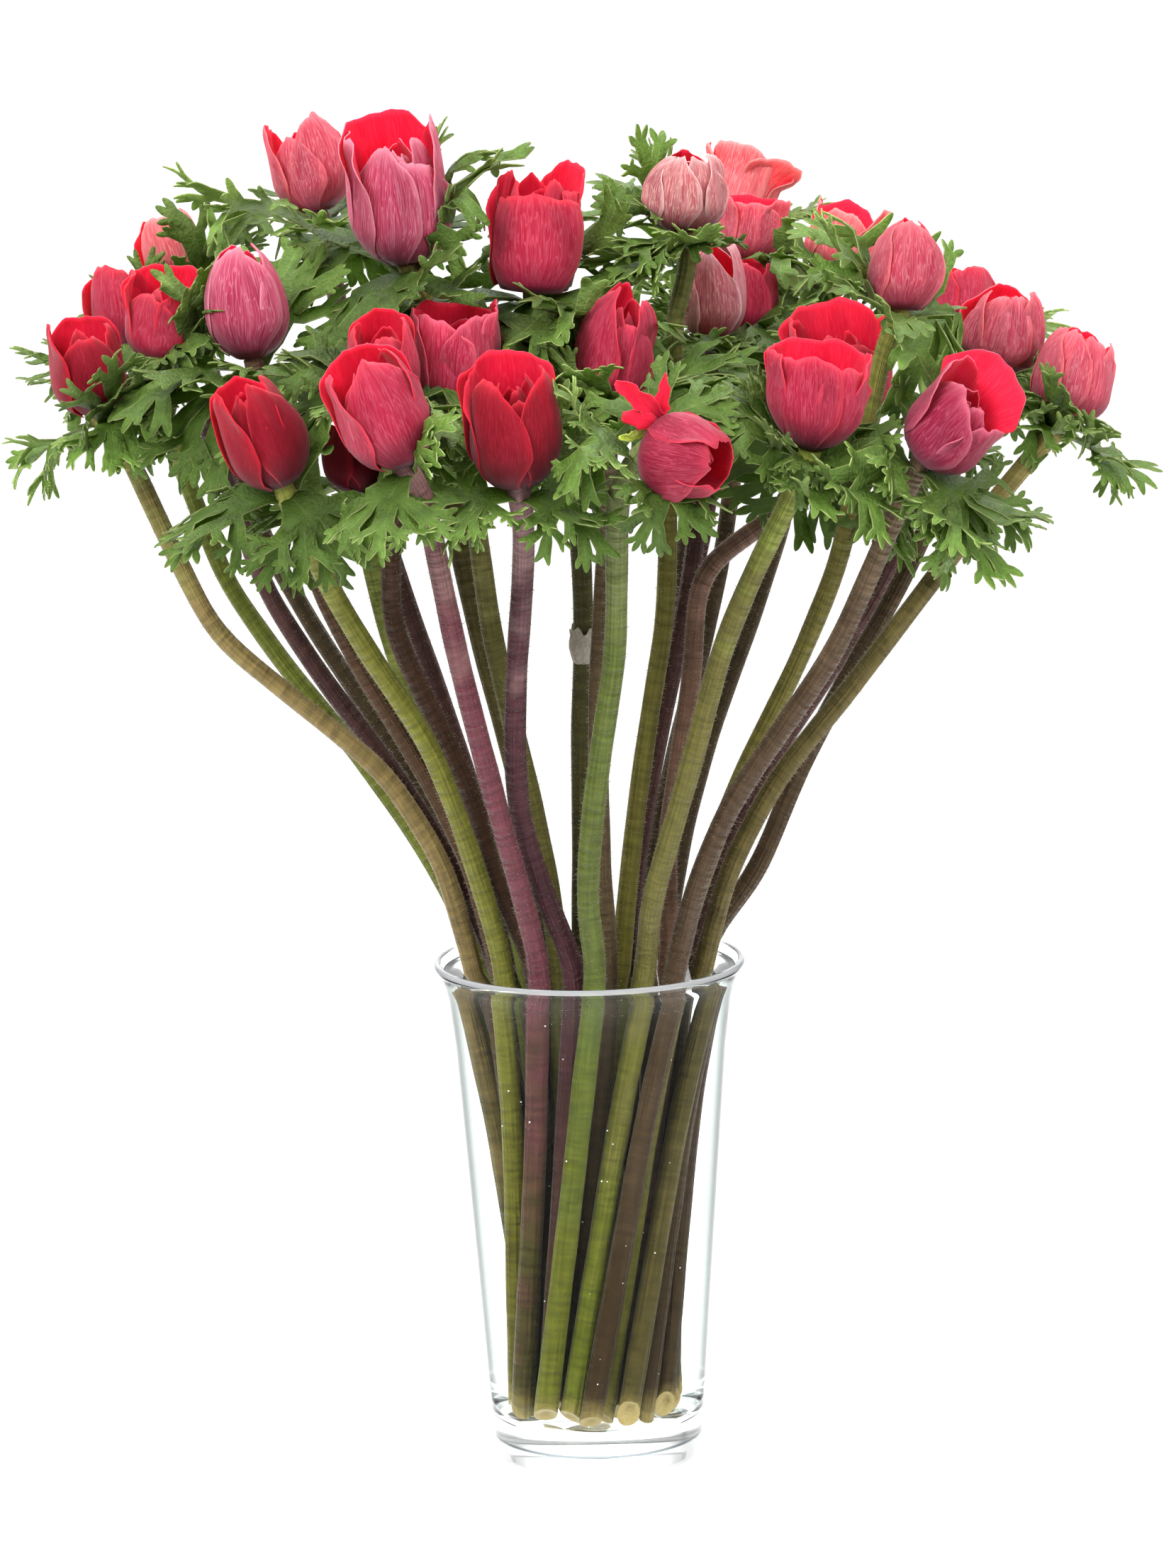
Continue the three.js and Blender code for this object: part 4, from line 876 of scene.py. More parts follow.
@dataclass(frozen=True)
class StemTissue(Finish):
    """Fresh stem: a waxy ribbed skin under fine down, greener towards its foot.

    Attributes:
        name: the material's name.
        top: colour under the leaves.
        middle: colour of its free length.
        foot: colour in the water.
        bleached: colour over the cut.
    """

    name: str
    top: str
    middle: str
    foot: str
    bleached: str = "a08e52"

    def shader(self, tree: Tree) -> Socket:
        """Adds its drifting colour, its bleached foot, fine streaks and cross wrinkles.

        Args:
            tree: the material's node tree.

        Returns:
            Its shader.
        """
        round_it, along, tint = (
            add_node(tree, "Attribute", None, "Fac", attribute_name=name)
            for name in CORNER_VALUES
        )
        place = add_node(tree, "TexCoord", None, "Object")
        # Blotches about 12 mm long drift the colour along the stem.
        blotches = add_node(tree, "TexNoise", {0: place, "Scale": 60.0, "Detail": 3.0})
        drift = add_node(tree, "MapRange", {0: blotches, 1: 0.3, 2: 0.7, 3: -0.12, 4: 0.12})
        where = add_node(tree, "Math", {0: along, 1: drift}, operation="ADD")
        top, middle, foot = linear(self.top), linear(self.middle), linear(self.foot)
        tones = [(0.12, foot), (0.45, middle), (0.8, middle), (0.97, top)]
        tones = add_node(tree, "ValToRGB", {0: where}, stops=tones)
        # The last 12 mm over the cut are bleached by the water.
        bleach = add_node(tree, "MapRange", {0: along, 1: 0.0, 2: 0.035, 3: 0.6, 4: 0.0})
        toned = {0: bleach, 6: tones, 7: linear(self.bleached)}
        toned = add_node(tree, "Mix", toned, 2, data_type="RGBA")
        # Fine streaks run up the skin, 22 round it, and cross wrinkles lie about 2 mm apart.
        seed = add_node(tree, "Math", {0: tint, 1: 31.0}, operation="MULTIPLY")
        place = add_node(tree, "CombineXYZ", {0: round_it, 1: along, 2: seed})
        drawn = []
        for draw, detail in (((22.0, 9.0, 1.0), 3.0), ((2.5, 190.0, 1.0), 1.0)):
            at = add_node(tree, "VectorMath", {0: place, 1: draw}, operation="MULTIPLY")
            grain = {0: at, "Scale": 1.0, "Detail": detail, "Distortion": 0.0}
            drawn.append(add_node(tree, "TexNoise", grain))
        streaks, wrinkles = drawn
        light = add_node(tree, "MapRange", {0: streaks, 1: 0.3, 2: 0.7, 3: 0.8, 4: 1.2})
        dark = add_node(tree, "MapRange", {0: wrinkles, 1: 0.3, 2: 0.7, 3: 0.78, 4: 1.2})
        level = add_node(tree, "Math", {0: light, 1: dark}, operation="MULTIPLY")
        shaded = {0: 1.0, 6: toned, 7: level}
        shaded = add_node(tree, "Mix", shaded, 2, data_type="RGBA", blend_type="MULTIPLY")
        height = add_node(tree, "Math", {0: streaks, 1: wrinkles}, operation="ADD")
        relief = {"Strength": 0.8, "Distance": 1.4 * MM, "Height": height}
        skin = {
            0: shaded, "Roughness": 0.5, "IOR": 1.42, "Specular IOR Level": 0.25,
            "Sheen Weight": 0.12, "Sheen Roughness": 0.35,
            "Sheen Tint": (1.0, 0.98, 0.9, 1.0), "Normal": add_node(tree, "Bump", relief),
        }
        return add_node(tree, "BsdfPrincipled", skin)


# The colour of each stem that shows clearly: under the leaves, of its free length and in the water.
STEM_TONES: dict[int, tuple[str, str, str]] = {
    1: ("7a7540", "78673f", "433c19"), 4: ("674f3e", "4b3625", "322511"),
    7: ("6b6635", "4a4222", "312d11"), 8: ("626e37", "464325", "363114"),
    9: ("6c6e3c", "6c672f", "5c5518"), 13: ("777739", "615b28", "4d4c17"),
    15: ("625235", "453726", "352714"), 16: ("807542", "5a502c", "443c1a"),
    17: ("67543f", "483828", "33240f"), 18: ("8a685c", "664c3e", "43311f"),
    19: ("7f893b", "5f5a2b", "555b14"), 22: ("756751", "584832", "3c2f1a"),
    23: ("6a7344", "505b24", "565916"), 24: ("7f6060", "48282e", "3c2a1a"),
    26: ("624638", "432d1f", "2a1f0f"), 27: ("7c5a58", "5e3038", "403a18"),
    28: ("8b9042", "686825", "555013"),
}


@dataclass(frozen=True)
class MottledSkin(Finish):
    """A small part in two shades of one colour, which lie in grains.

    Attributes:
        name: the material's name.
        shades: its two shades.
        grains: how many grains a metre holds.
        detail: how broken the grains are.
        look: the skin's roughness and other values, by their names.
        relief: how far the grains stand out, in millimetres.
        glow: colour of light that comes through it, if it lets any through.
        through: share of light that does.
    """

    name: str
    shades: tuple[str, str]
    grains: float
    detail: float
    look: tuple[tuple[str, float], ...]
    relief: float = 0.0
    glow: str = ""
    through: float = 0.62

    def shader(self, tree: Tree) -> Socket:
        """Adds its grains, their relief and the light through it.

        Args:
            tree: the material's node tree.

        Returns:
            Its shader.
        """
        place = add_node(tree, "TexCoord", None, "Object")
        grain = {0: place, "Scale": self.grains, "Detail": self.detail}
        grain = add_node(tree, "TexNoise", grain)
        low, high = self.shades
        colour = {0: grain, 6: linear(low), 7: linear(high)}
        skin = {0: add_node(tree, "Mix", colour, 2, data_type="RGBA"), **dict(self.look)}
        if self.relief:
            relief = {"Strength": 0.5, "Distance": self.relief * MM, "Height": grain}
            skin["Normal"] = add_node(tree, "Bump", relief)
        skin = add_node(tree, "BsdfPrincipled", skin)
        if not self.glow:
            return skin
        through = add_node(tree, "BsdfTranslucent", {0: linear(self.glow)})
        return add_node(tree, "MixShader", {0: self.through, 1: skin, 2: through})


@dataclass(frozen=True)
class BubbleSkin(Finish):
    """A clinging air bubble, which mirrors the light and looks white in the water."""

    name: str = "air_bubble"

    def shader(self, tree: Tree) -> Socket:
        """Adds its middle, which is paler, because the light goes through there.

        Args:
            tree: the material's node tree.

        Returns:
            Its shader.
        """
        facing = add_node(tree, "LayerWeight", {"Blend": 0.4}, "Facing")
        colour = {0: facing, 6: linear("fbfbf8"), 7: linear("c4c4bc")}
        colour = add_node(tree, "Mix", colour, 2, data_type="RGBA")
        return add_node(tree, "BsdfPrincipled", {0: colour, "Roughness": 0.12})


@dataclass(frozen=True)
class ClearBody(Finish):
    """A clear body: pressed soda glass, or still water.

    Attributes:
        name: the material's name.
        colour: what is left of white light in it.
        ior: its index of refraction.
        ripple: strength of the faint waves of its surface.
        ripple_scale: how many such waves a metre holds.
        shine: how much it mirrors straight in front, as a share of what its index gives.
        slanted: colour painted where it is seen at a slant, greyer: painted shade for the dim
            studio sides that real glass bends into view there.
        edge: darker grey painted where it is seen along its wall: painted shade of the same kind.
        clear: share of light that goes on through it; the rest is matt white lit by the lamps,
        a painted highlight.
        streak: colour of the broken grey streaks painted beside its edges, painted reflections
        of the dim studio sides, if it has them.
    """

    name: str
    colour: str
    ior: float
    ripple: float
    ripple_scale: float
    shine: float
    slanted: str
    edge: str
    clear: float = 1.0
    streak: str = ""

    def shader(self, tree: Tree) -> Socket:
        """Adds its waves, its painted grey edges and streaks, and the way through it for light.

        Args:
            tree: the material's node tree.

        Returns:
            Its shader.
        """
        place = add_node(tree, "TexCoord", None, "Object")
        waves = add_node(tree, "TexNoise", {0: place, "Scale": self.ripple_scale, "Detail": 1.0})
        # Where it is seen along its wall, its colour is painted greyer: painted shade for the dim
        # studio sides that real glass bends into view there.
        slant = add_node(tree, "LayerWeight", {"Blend": 0.5}, "Facing")
        tones = zip((0.5, 0.8, 0.97), map(linear, (self.colour, self.slanted, self.edge)))
        colour = add_node(tree, "ValToRGB", {0: slant}, stops=list(tones))
        if self.streak:
            # Painted grey streaks, broken, up to 90 mm long, where the wall is seen half along:
            # painted reflections of the dim studio sides.
            line = [(0.4, BLACK), (0.47, WHITE), (0.54, BLACK)]
            line = add_node(tree, "ValToRGB", {0: slant}, stops=line)
            breaks = add_node(tree, "TexNoise", {0: place, "Scale": 11.0, "Detail": 2.0})
            breaks = add_node(tree, "MapRange", {0: breaks, 1: 0.46, 2: 0.6, 3: 0.0, 4: 0.9})
            share = add_node(tree, "Math", {0: line, 1: breaks}, operation="MULTIPLY")
            colour = {0: share, 6: colour, 7: linear(self.streak)}
            colour = add_node(tree, "Mix", colour, 2, data_type="RGBA")
        relief = {"Strength": self.ripple, "Distance": MM, "Height": waves}
        body = {
            0: colour, "Roughness": 0.0, "IOR": self.ior, "Transmission Weight": self.clear,
            "Specular Tint": (self.shine, self.shine, self.shine, 1.0),
            "Normal": add_node(tree, "Bump", relief),
        }
        # What stands in it is lit as if it weren't there, in place of by rays bent at random.
        lit = add_node(tree, "BsdfPrincipled", body)
        open_way = add_node(tree, "BsdfTransparent")
        for ray in ("Is Diffuse Ray", "Is Shadow Ray"):
            ray = add_node(tree, "LightPath", None, ray)
            lit = add_node(tree, "MixShader", {0: ray, 1: lit, 2: open_way})
        return lit


class Finishes:
    """All the finishes of the bouquet, each made once."""

    # The backs of anemone petals: a silky felt of hairs, paler and bluer than the face's red.
    PETAL_BACKS = {
        PetalHue.SCARLET: PetalTissue(
            "petal_back_scarlet", "a82440", "cc5c70", "5c1230", "f0303c", "f23a4a", 0.45
        ),
        PetalHue.CRIMSON: PetalTissue(
            "petal_back_crimson", "ac2040", "d05c74", "551233", "e8304a", "ee4860", 0.5
        ),
        # These backs are a paler copy of the red: partly the blooms' own colour, partly painted
        # backlight.
        PetalHue.CORAL: PetalTissue(
            "petal_back_coral_and_backlight", "b63e58", "de909a", "842443", "ff6470", "ff8c94", 0.55, 0.42
        ),
        PetalHue.MAUVE: PetalTissue(
            "petal_back_mauve", "bc5c70", "eab8ba", "4a1430", "ee7888", "f8dee2", 0.66
        ),
        PetalHue.WINE: PetalTissue(
            "petal_back_wine", "8e1b3e", "b85872", "3c0f2c", "d8304e", "e27c94", 0.55
        ),
    }
    # The blooms whose backs differ from the rest of their colour.
    OWN_BACKS = {
        PetalTissue(
            "petal_back_maroon", "820d20", "a6253a", "4c0e24", "d01c34", "ee2840", 0.45
        ): (1, 24, 28, 29),
        PetalTissue(
            "petal_back_rose", "b03458", "dc869c", "641a38", "ea5c78", "eca0b4", 0.55
        ): (4, 7),
        # Bloom 23's backs are a darker copy of the crimson: painted shade.
        PetalTissue(
            "petal_back_painted_shade", "8c1a36", "bc4c64", "4c0e2a", "e03048", "ea4860", 0.5
        ): (23,),
        # Blooms 5, 10 and 12 have still paler backs: partly their own colour, partly painted
        # backlight.
        PetalTissue(
            "petal_back_pale_coral_and_backlight", "dc6672", "f6b8b6", "a03a54", "ff8c8c", "ffc4be", 0.55, 0.5
        ): (5, 10, 12),
        PetalTissue(
            "petal_back_rose_red", "b82446", "d86880", "5c1234", "f03854", "f07088", 0.55
        ): (25,),
        PetalTissue(
            "petal_back_silver_rose", "ae4f5c", "dcb2aa", "4a1430", "d86e76", "f0d6d4", 0.66
        ): (9,),
    }
    STEMS = {
        StemSkin.LIME: StemTissue("stem_skin_lime", "7d8540", "5d6425", "4e5214"),
        StemSkin.OLIVE: StemTissue("stem_skin_olive", "797544", "545025", "444314"),
        StemSkin.UMBER: StemTissue("stem_skin_umber", "665640", "433726", "373114"),
        StemSkin.PLUM: StemTissue("stem_skin_plum", "684d4f", "452e2c", "372a17"),
    }

    def __init__(self) -> None:
        """Makes every material."""
        self.petal_backs = {hue: finish.make() for hue, finish in self.PETAL_BACKS.items()}
        self.own_backs = {}
        for finish, numbers in self.OWN_BACKS.items():
            self.own_backs.update(dict.fromkeys(numbers, finish.make()))
        # The face of a petal is smoother than its back and the purest red.
        self.petal_face = PetalTissue(
            "petal_face_scarlet", "de1a3e", "f0405c", "84082a", "ff1c40", "ff3c58", 0.3, 0.42
        ).make()
        self.stems = {skin: finish.make() for skin, finish in self.STEMS.items()}
        self.own_stems = {
            number: StemTissue(f"stem_skin_of_{number:02d}", *tones).make()
            for number, tones in STEM_TONES.items()
        }
        # Leaves are waxy above and matt and paler beneath.
        self.leaf_top = LeafTissue("leaf_upper_face", "5f7a36", "748c48", "86994e", 0.37).make()
        self.leaf_under = LeafTissue("leaf_under_face", "748a4a", "8c9a60", "98a468", 0.6).make()
        self.bract = LeafTissue("yellow_green_bract", "a8b440", "c0c860", "ccd27c", 0.5).make()
        # White plant hairs, clear as spun glass, so that they shine against the light.
        self.down = MottledSkin(
            "white_plant_down", ("746e5c", "5c5646"), 300.0, 2.0,
            (("Roughness", 0.6), ("Specular IOR Level", 0.2)), glow="f8f4e8",
        ).make()
        # The cut face of a stem: wet pith, with fibre bundles about 0.8 mm apart.
        self.pith = MottledSkin(
            "cut_stem_pith", ("86733e", "b9a468"), 1200.0, 2.0, (("Roughness", 0.35), ("IOR", 1.4))
        ).make()
        # The dry papery sheath of a stem's old joint, with folds about 1 mm apart.
        self.husk = MottledSkin(
            "dry_papery_husk", ("6e665c", "c8bfb2"), 900.0, 3.0,
            (("Roughness", 0.7), ("Specular IOR Level", 0.2)), relief=0.6,
        ).make()
        # Matt pale card under the vase, which the light takes to white.
        self.floor = MottledSkin(
            "matt_white_card", ("e4e4e4", "ebebeb"), 900.0, 2.0, (("Roughness", 0.7),)
        ).make()
        # Pressed glass with painted grey edges and streaks for the dim studio sides.
        self.glass = ClearBody(
            "pressed_soda_glass", "fbfffd", 1.38, 0.02, 35.0, 0.25, "dadee0", "5e626c",
            streak="969aa8",
        ).make()
        # The lip and the foot are drawn partly matt white lit by the lamps: a painted highlight for
        # the light that real glass gathers and mirrors there.
        self.lip = ClearBody(
            "fire_polished_lip", "eef0f2", 1.3, 0.02, 35.0, 1.0, "c8ccd2", "70747e", 0.66
        ).make()
        self.foot = ClearBody(
            "thick_glass_foot", "fbfdfd", 1.3, 0.02, 35.0, 1.0, "e2e6e8", "9ca0a8", 0.8
        ).make()
        # Dark grey glass where the thick foot joins the wall: a painted dark line for the shade
        # that real glass bends into view there.
        self.shoulder = ClearBody(
            "painted_dark_foot_line", "5c676c", 1.38, 0.02, 35.0, 0.4, "505a60", "40464e"
        ).make()
        # Water's own 1.333 would swell the stems, which stand at the glass, to the vase's whole
        # width.
        self.water = ClearBody(
            "still_water", "fdffff", 1.12, 0.004, 20.0, 0.25, "f4f6f6", "c8ccd0"
        ).make()
        self.bubble = BubbleSkin().make()


# ---- vase and water ----


@dataclass
class GlassVase:
    """The vase: a lathed glass with a thick foot and a rolled rim.

    Attributes:
        outside: its outer wall from the foot up, as radius and height.
        rim: the roll of the rim.
        inside: its inner wall from the rim down.
        lip_from: height from which its lip is drawn partly matt white, a painted highlight.
        foot_to: height up to which its foot is drawn so.
        foot_from: radius from which its foot is drawn so.
        shoulder: top of the painted dark grey line where the thick foot joins the wall.
        sides: how many faces it has round it.
    """

    outside: Rings = (
        (0, 0.9), (20, 0.7), (28, 0.25), (32.5, 0), (34.6, 0.1), (35.7, 0.5), (36.5, 1.3),
        (37.0, 2.6), (37.3, 5), (37.5, 8.4), (37.58, 9.4), (38.2, 18), (39.8, 40), (41.6, 65),
        (43.6, 92), (45.7, 120), (48, 150), (49.2, 160), (50.4, 168), (52.2, 173.5), (53.9, 177),
    )
    rim: Rings = ((54.7, 178.3), (54.8, 179.2), (54.3, 179.9), (53.4, 180), (52.6, 179.4))
    inside: Rings = (
        (51.4, 177), (49.8, 173), (48, 167), (46.6, 159), (45.4, 150), (43.2, 120), (41.0, 92),
        (38.8, 65), (37.2, 42), (35.9, 26), (35.3, 20), (34.4, 17), (32.6, 15.5), (29.5, 15),
        (18, 14.6), (0, 14.4),
    )
    lip_from: float = 178.2
    foot_to: float = 8.4
    foot_from: float = 31.0
    shoulder: float = 9.4
    sides: int = 144

    def lathe(self, profile: Sequence[tuple[float, float]]) -> MeshDraft:
        """Turns a profile about the axis.

        Args:
            profile: its points as radius and height, the first and last on the axis.

        Returns:
            The turned skin.
        """
        draft = MeshDraft()
        angles = round_angles(self.sides)
        rings = [
            np.stack([r * np.cos(angles), r * np.sin(angles), np.full(self.sides, z)], 1)
            for r, z in profile[1:-1]
        ]
        count = len(rings) * self.sides
        ends = np.array([[0, 0, profile[0][1]], [0, 0, profile[-1][1]]], float)
        faces = grid_faces(len(rings), self.sides, closed=True)
        faces += fan_faces(count, 0, self.sides, turned=True)
        faces += fan_faces(count + 1, count - self.sides, self.sides)
        draft.add(np.concatenate(rings + [ends]), faces)
        return draft

    def bore(self, height: float) -> float:
        """The inner wall's radius at a height."""
        radii, heights = zip(*self.inside[::-1])
        return float(np.interp(height, heights, radii))

    def dress(self, finishes: Finishes) -> Piece:
        """Makes the vase in place of its plain solid.

        Args:
            finishes: the finishes.

        Returns:
            The piece.
        """
        piece = self.lathe([*self.outside, *self.rim, *self.inside]).piece(
            "glass_vase", [finishes.glass, finishes.lip, finishes.foot, finishes.shoulder]
        )
        # The lip and the foot take the glass drawn partly white, a painted highlight, and the
        # shoulder the painted dark line.
        for face in piece.data.polygons:
            height, out = face.center.z / MM, face.center.xy.length / MM
            wall = out > self.foot_from
            if height > self.lip_from:
                face.material_index = 1
            elif wall and height < self.foot_to:
                face.material_index = 2
            elif wall and height < self.shoulder:
                face.material_index = 3
        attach(piece, "root")
        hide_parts("vase")
        return piece


@dataclass
class Water:
    """The water, which reaches a little into the inner wall so that no film of air shows.

    Attributes:
        vase: the vase that it stands in.
        level: height of its surface.
        bite: how far it reaches into the glass.
        meniscus: how far its edge climbs the wall.
    """

    vase: GlassVase
    level: float = 176.0
    bite: float = 0.12
    meniscus: float = 0.8

    def dress(self, finishes: Finishes) -> Piece:
        """Makes the water in place of its plain solid.

        Args:
            finishes: the finishes.

        Returns:
            The piece.
        """
        bore, level, edge = self.vase.bore, self.level, self.level + self.meniscus
        floor = self.vase.inside[-1][1]
        heights = [z for _, z in self.vase.inside[::-1] if floor < z < level - 2]
        profile = [(0, floor - self.bite)]
        profile += [(bore(z) + self.bite, z) for z in [*heights, edge]]
        radius = bore(level)
        profile += [(radius - 0.4, level + 0.45), (radius - 1.3, level + 0.12), (radius - 3, level)]
        profile += [(radius * 0.5, level), (0, level)]
        piece = self.vase.lathe(profile).piece("still_water", [finishes.water])
        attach(piece, "root")
        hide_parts("water")
        return piece


# ---- stalks ----


@dataclass
class Stalk:
    """A stem from its cut foot to the base of its bloom, on the line that its CAD solid has.

    Attributes:
        flower: the flower that it carries.
        step: distance between rings.
        sides: corners of a ring.
        smoothing: length over which the line's corners are rounded.
        gather: how far in towards the vase's axis it stands at its foot, as a share of the solid's
            distance from it. The vase and water swell what stands in them, so the bundle looks as
            wide as it does in the real vase.
        gathered: heights between which it comes back to its solid.
        cut: distance between the level cuts through the solid.
        taper: how much thinner its upper end is than its foot.
        uneven: how much its thickness drifts, three times over.
        swelling: how much it swells where its leaves grow.
        ribs: how many ribs run up it, and how far they stand out.
        hairs: how many hairs it has.
        hair: a hair's half width.
        line: its middle line, at even distances.
    """

    flower: Flower
    step: float = 4.6
    sides: int = 14
    smoothing: float = 9.0
    gather: float = 0.91
    gathered: tuple[float, float] = (110.0, 190.0)
    cut: float = 4.0
    taper: float = 0.14
    uneven: float = 0.012
    swelling: float = 0.16
    ribs: tuple[int, float] = (6, 0.014)
    hairs: int = 1300
    hair: float = 0.075
    line: np.ndarray = field(init=False)

    def __post_init__(self) -> None:
        """Reads the line from the CAD solid."""
        self.line = self.smoothed(self.read_line())
        inside = 1 - ease(self.line[:, 2], *self.gathered)
        self.line[:, :2] *= (1 - (1 - self.gather) * inside)[:, None]
        height = self.line[:, 2].copy()
        for shift, low, reached, left, high in NUDGES.get(self.flower.number, ()):
            self.line[:, 0] += shift * ease(height, low, reached) * (1 - ease(height, left, high))

    def read_line(self) -> np.ndarray:
        """Follows the CAD solid's middle from the foot up, by the centres of its level cuts.

        Returns:
            The middle's points, one a row.
        """
        mesh = bpy.data.objects[f"leafy_stem_{self.flower.tag}"].data
        mesh.calc_loop_triangles()
        corners = np.array([v.co for v in mesh.vertices]) / MM
        faces = np.array([t.vertices for t in mesh.loop_triangles])
        low = corners[:, 2].min()
        foot = corners[corners[:, 2] < low + 0.3]
        centres = [(foot.max(0) + foot.min(0)) / 2]
        whorl = np.array(self.flower.whorl, float)
        for height in np.arange(low + self.cut, whorl[2] - 7, self.cut):
            slope = np.array([0, 0, self.cut])
            if len(centres) > 2:
                slope = centres[-1] - centres[-2]
            guess = centres[-1] + slope * (height - centres[-1][2]) / slope[2]
            reach = self.flower.thick * 1.25 * np.linalg.norm(slope) / slope[2] + 1
            centres.append(self.cut_centre(corners[faces], height, guess, reach))
        return np.array(centres + [whorl, np.array(self.flower.bloom, float)])

    @staticmethod
    def cut_centre(
        triangles: np.ndarray, height: float, guess: np.ndarray, reach: float
    ) -> np.ndarray:
        """Finds the middle of the stem's section at a height.

        Args:
            triangles: the solid's triangles, each as its three corners.
            height: the section's height.
            guess: a point near the middle.
            reach: how far from the guess the section's outline may lie.

        Returns:
            The middle, or the guess where too little of the outline is near it.
        """
        over = triangles[:, :, 2] > height
        cut = triangles[over.any(1) & ~over.all(1)]
        ends = []
        for a, b in ((0, 1), (1, 2), (2, 0)):
            pa, pb = cut[:, a], cut[:, b]
            meets = (pa[:, 2] > height) != (pb[:, 2] > height)
            rise = np.where(meets, pb[:, 2] - pa[:, 2], 1.0)
            share = ((height - pa[:, 2]) / rise)[:, None]
            ends.append(np.where(meets[:, None], pa + share * (pb - pa), np.nan))
        stack = np.stack(ends, 1)
        order = np.isnan(stack[:, :, 0]).argsort(1, kind="stable")[:, :2]
        pair = np.take_along_axis(stack, order[:, :, None], 1)
        near = (np.linalg.norm(pair - guess, axis=2) < reach).all(1)
        if near.sum() < 4:
            return guess
        pair = pair[near]
        weight = np.linalg.norm(pair[:, 1] - pair[:, 0], axis=1)
        middle = (pair.mean(1) * weight[:, None]).sum(0) / weight.sum()
        middle[2] = height
        return middle

    def smoothed(self, rough: np.ndarray) -> np.ndarray:
        """Rounds a line's corners and keeps its ends.

        Args:
            rough: the line's points.

        Returns:
            The smooth line at even distances.
        """
        run = np.concatenate([[0], np.cumsum(np.linalg.norm(np.diff(rough, axis=0), axis=1))])
        even = np.linspace(0, run[-1], int(run[-1] / self.step) + 1)
        line = np.stack([np.interp(even, run, rough[:, k]) for k in range(3)], 1)
        reach = int(3 * self.smoothing / self.step)
        kernel = np.exp(-0.5 * (np.arange(-reach, reach + 1) * self.step / self.smoothing) ** 2)
        kernel /= kernel.sum()
        before = 2 * line[0] - line[reach:0:-1]
        after = 2 * line[-1] - line[-2 : -reach - 2 : -1]
        padded = np.concatenate([before, line, after])
        return np.stack([np.convolve(padded[:, k], kernel, "valid") for k in range(3)], 1)

    def frames(self) -> tuple[np.ndarray, np.ndarray, np.ndarray]:
        """Finds which way the stem runs.

        Returns:
            The line's way, and two sides square to it that don't twist, at each point.
        """
        way = np.gradient(self.line, axis=0)
        way /= np.linalg.norm(way, axis=1)[:, None]
        side = np.zeros_like(way)
        last = np.array([1.0, 0, 0])
        for k, along in enumerate(way):
            last = unit(last - along * last.dot(along))
            side[k] = last
        return way, side, np.cross(way, side)

    def radii(self) -> np.ndarray:
        """Works out how thick the stem is.

        Returns:
            Its radius at each point, slowly uneven, with a swelling where its leaves grow.
        """
        count = len(self.line)
        share = np.linspace(0, 1, count)
        rng = np.random.default_rng(1000 + self.flower.number)
        uneven = np.zeros(count)
        for cycles in (3, 7, 13):
            uneven += self.uneven * np.sin(TURN * (cycles * share + rng.random()))
        radius = self.flower.thick * (1 - self.taper * share + uneven)
        radius *= 1 - 0.04 * (1 - ease(self.line[:, 2], 90.0, 184.0))
        to_leaves = np.linalg.norm(self.line - self.flower.collar, axis=1)
        radius *= 1 + self.swelling * np.exp(-((to_leaves / 5) ** 2))
        neck = ease(share, 1 - 9 / (count * self.step), 1.0)
        return radius * (1 - 0.1 * neck)

    def draft(self) -> MeshDraft:
        """Drafts the stem's skin.

        Returns:
            Faintly ribbed rings with a slanted cut foot and a closed top.
        """
        draft = MeshDraft()
        way, side, other = self.frames()
        angle = np.linspace(0, TURN, self.sides + 1)
        circle = np.cos(angle)[None, :, None] * side[:, None]
        circle = circle + np.sin(angle)[None, :, None] * other[:, None]
        count, depth = self.ribs
        ribs = 1 + depth * np.cos(angle * count + self.flower.number)
        points = self.line[:, None] + circle * (self.radii()[:, None] * ribs)[:, :, None]
        self.slant(points, way)
        rows, columns = points.shape[:2]
        along = np.repeat(np.linspace(0, 1, rows), columns)
        across = np.tile(angle / TURN, rows)
        tint = (self.flower.number * 0.37) % 1
        faces = grid_faces(rows, columns)
        draft.add(points.reshape(-1, 3), faces, along=along, across=across, tint=tint)
        self.cut_foot(draft, points[0, :-1])
        top = np.vstack([points[-1, :-1], points[-1, :-1].mean(0) + way[-1] * 0.6])
        lid = fan_faces(self.sides, 0, self.sides)
        draft.add(top, lid, along=1.0, across=0.5, tint=tint)
        return draft

    def slant(self, points: np.ndarray, way: np.ndarray) -> None:
        """Slants the foot, as a knife cuts it, towards the front or the back.

        Args:
            points: the skin's corners ring by ring, which it moves.
            way: the stem's way at each ring.
        """
        rng = np.random.default_rng(1500 + self.flower.number)
        bearing = math.radians(rng.choice([270, 90, 90]) + rng.uniform(-50, 50))
        slope = rng.uniform(0.7, 1.6)
        lean = np.array([math.cos(bearing), math.sin(bearing), 0.0])
        for row, share in enumerate((1.0, 0.55, 0.2)):
            off = (points[row] - self.line[row]) @ lean
            points[row] += way[0] * ((off.max() - off) * slope * share)[:, None]

    def cut_foot(self, draft: MeshDraft, rim: np.ndarray) -> None:
        """Closes the foot with its cut face: pale pith round a shallow hollow.

        Args:
            draft: the skin's draft, which it adds to.
            rim: the lowest ring.
        """
        middle = rim.mean(0)
        pith = middle + (rim - middle) * 0.56
        hollow = middle + (rim - middle) * 0.4 + self.frames()[0][0] * 1.6
        points = np.vstack([rim, pith, hollow, hollow.mean(0)])
        n = self.sides
        faces = [face[::-1] for face in grid_faces(3, n, closed=True)]
        faces += fan_faces(3 * n, 2 * n, n, turned=True)
        draft.add(points, faces, slot=1, along=0.0, across=0.5, tint=0.5)

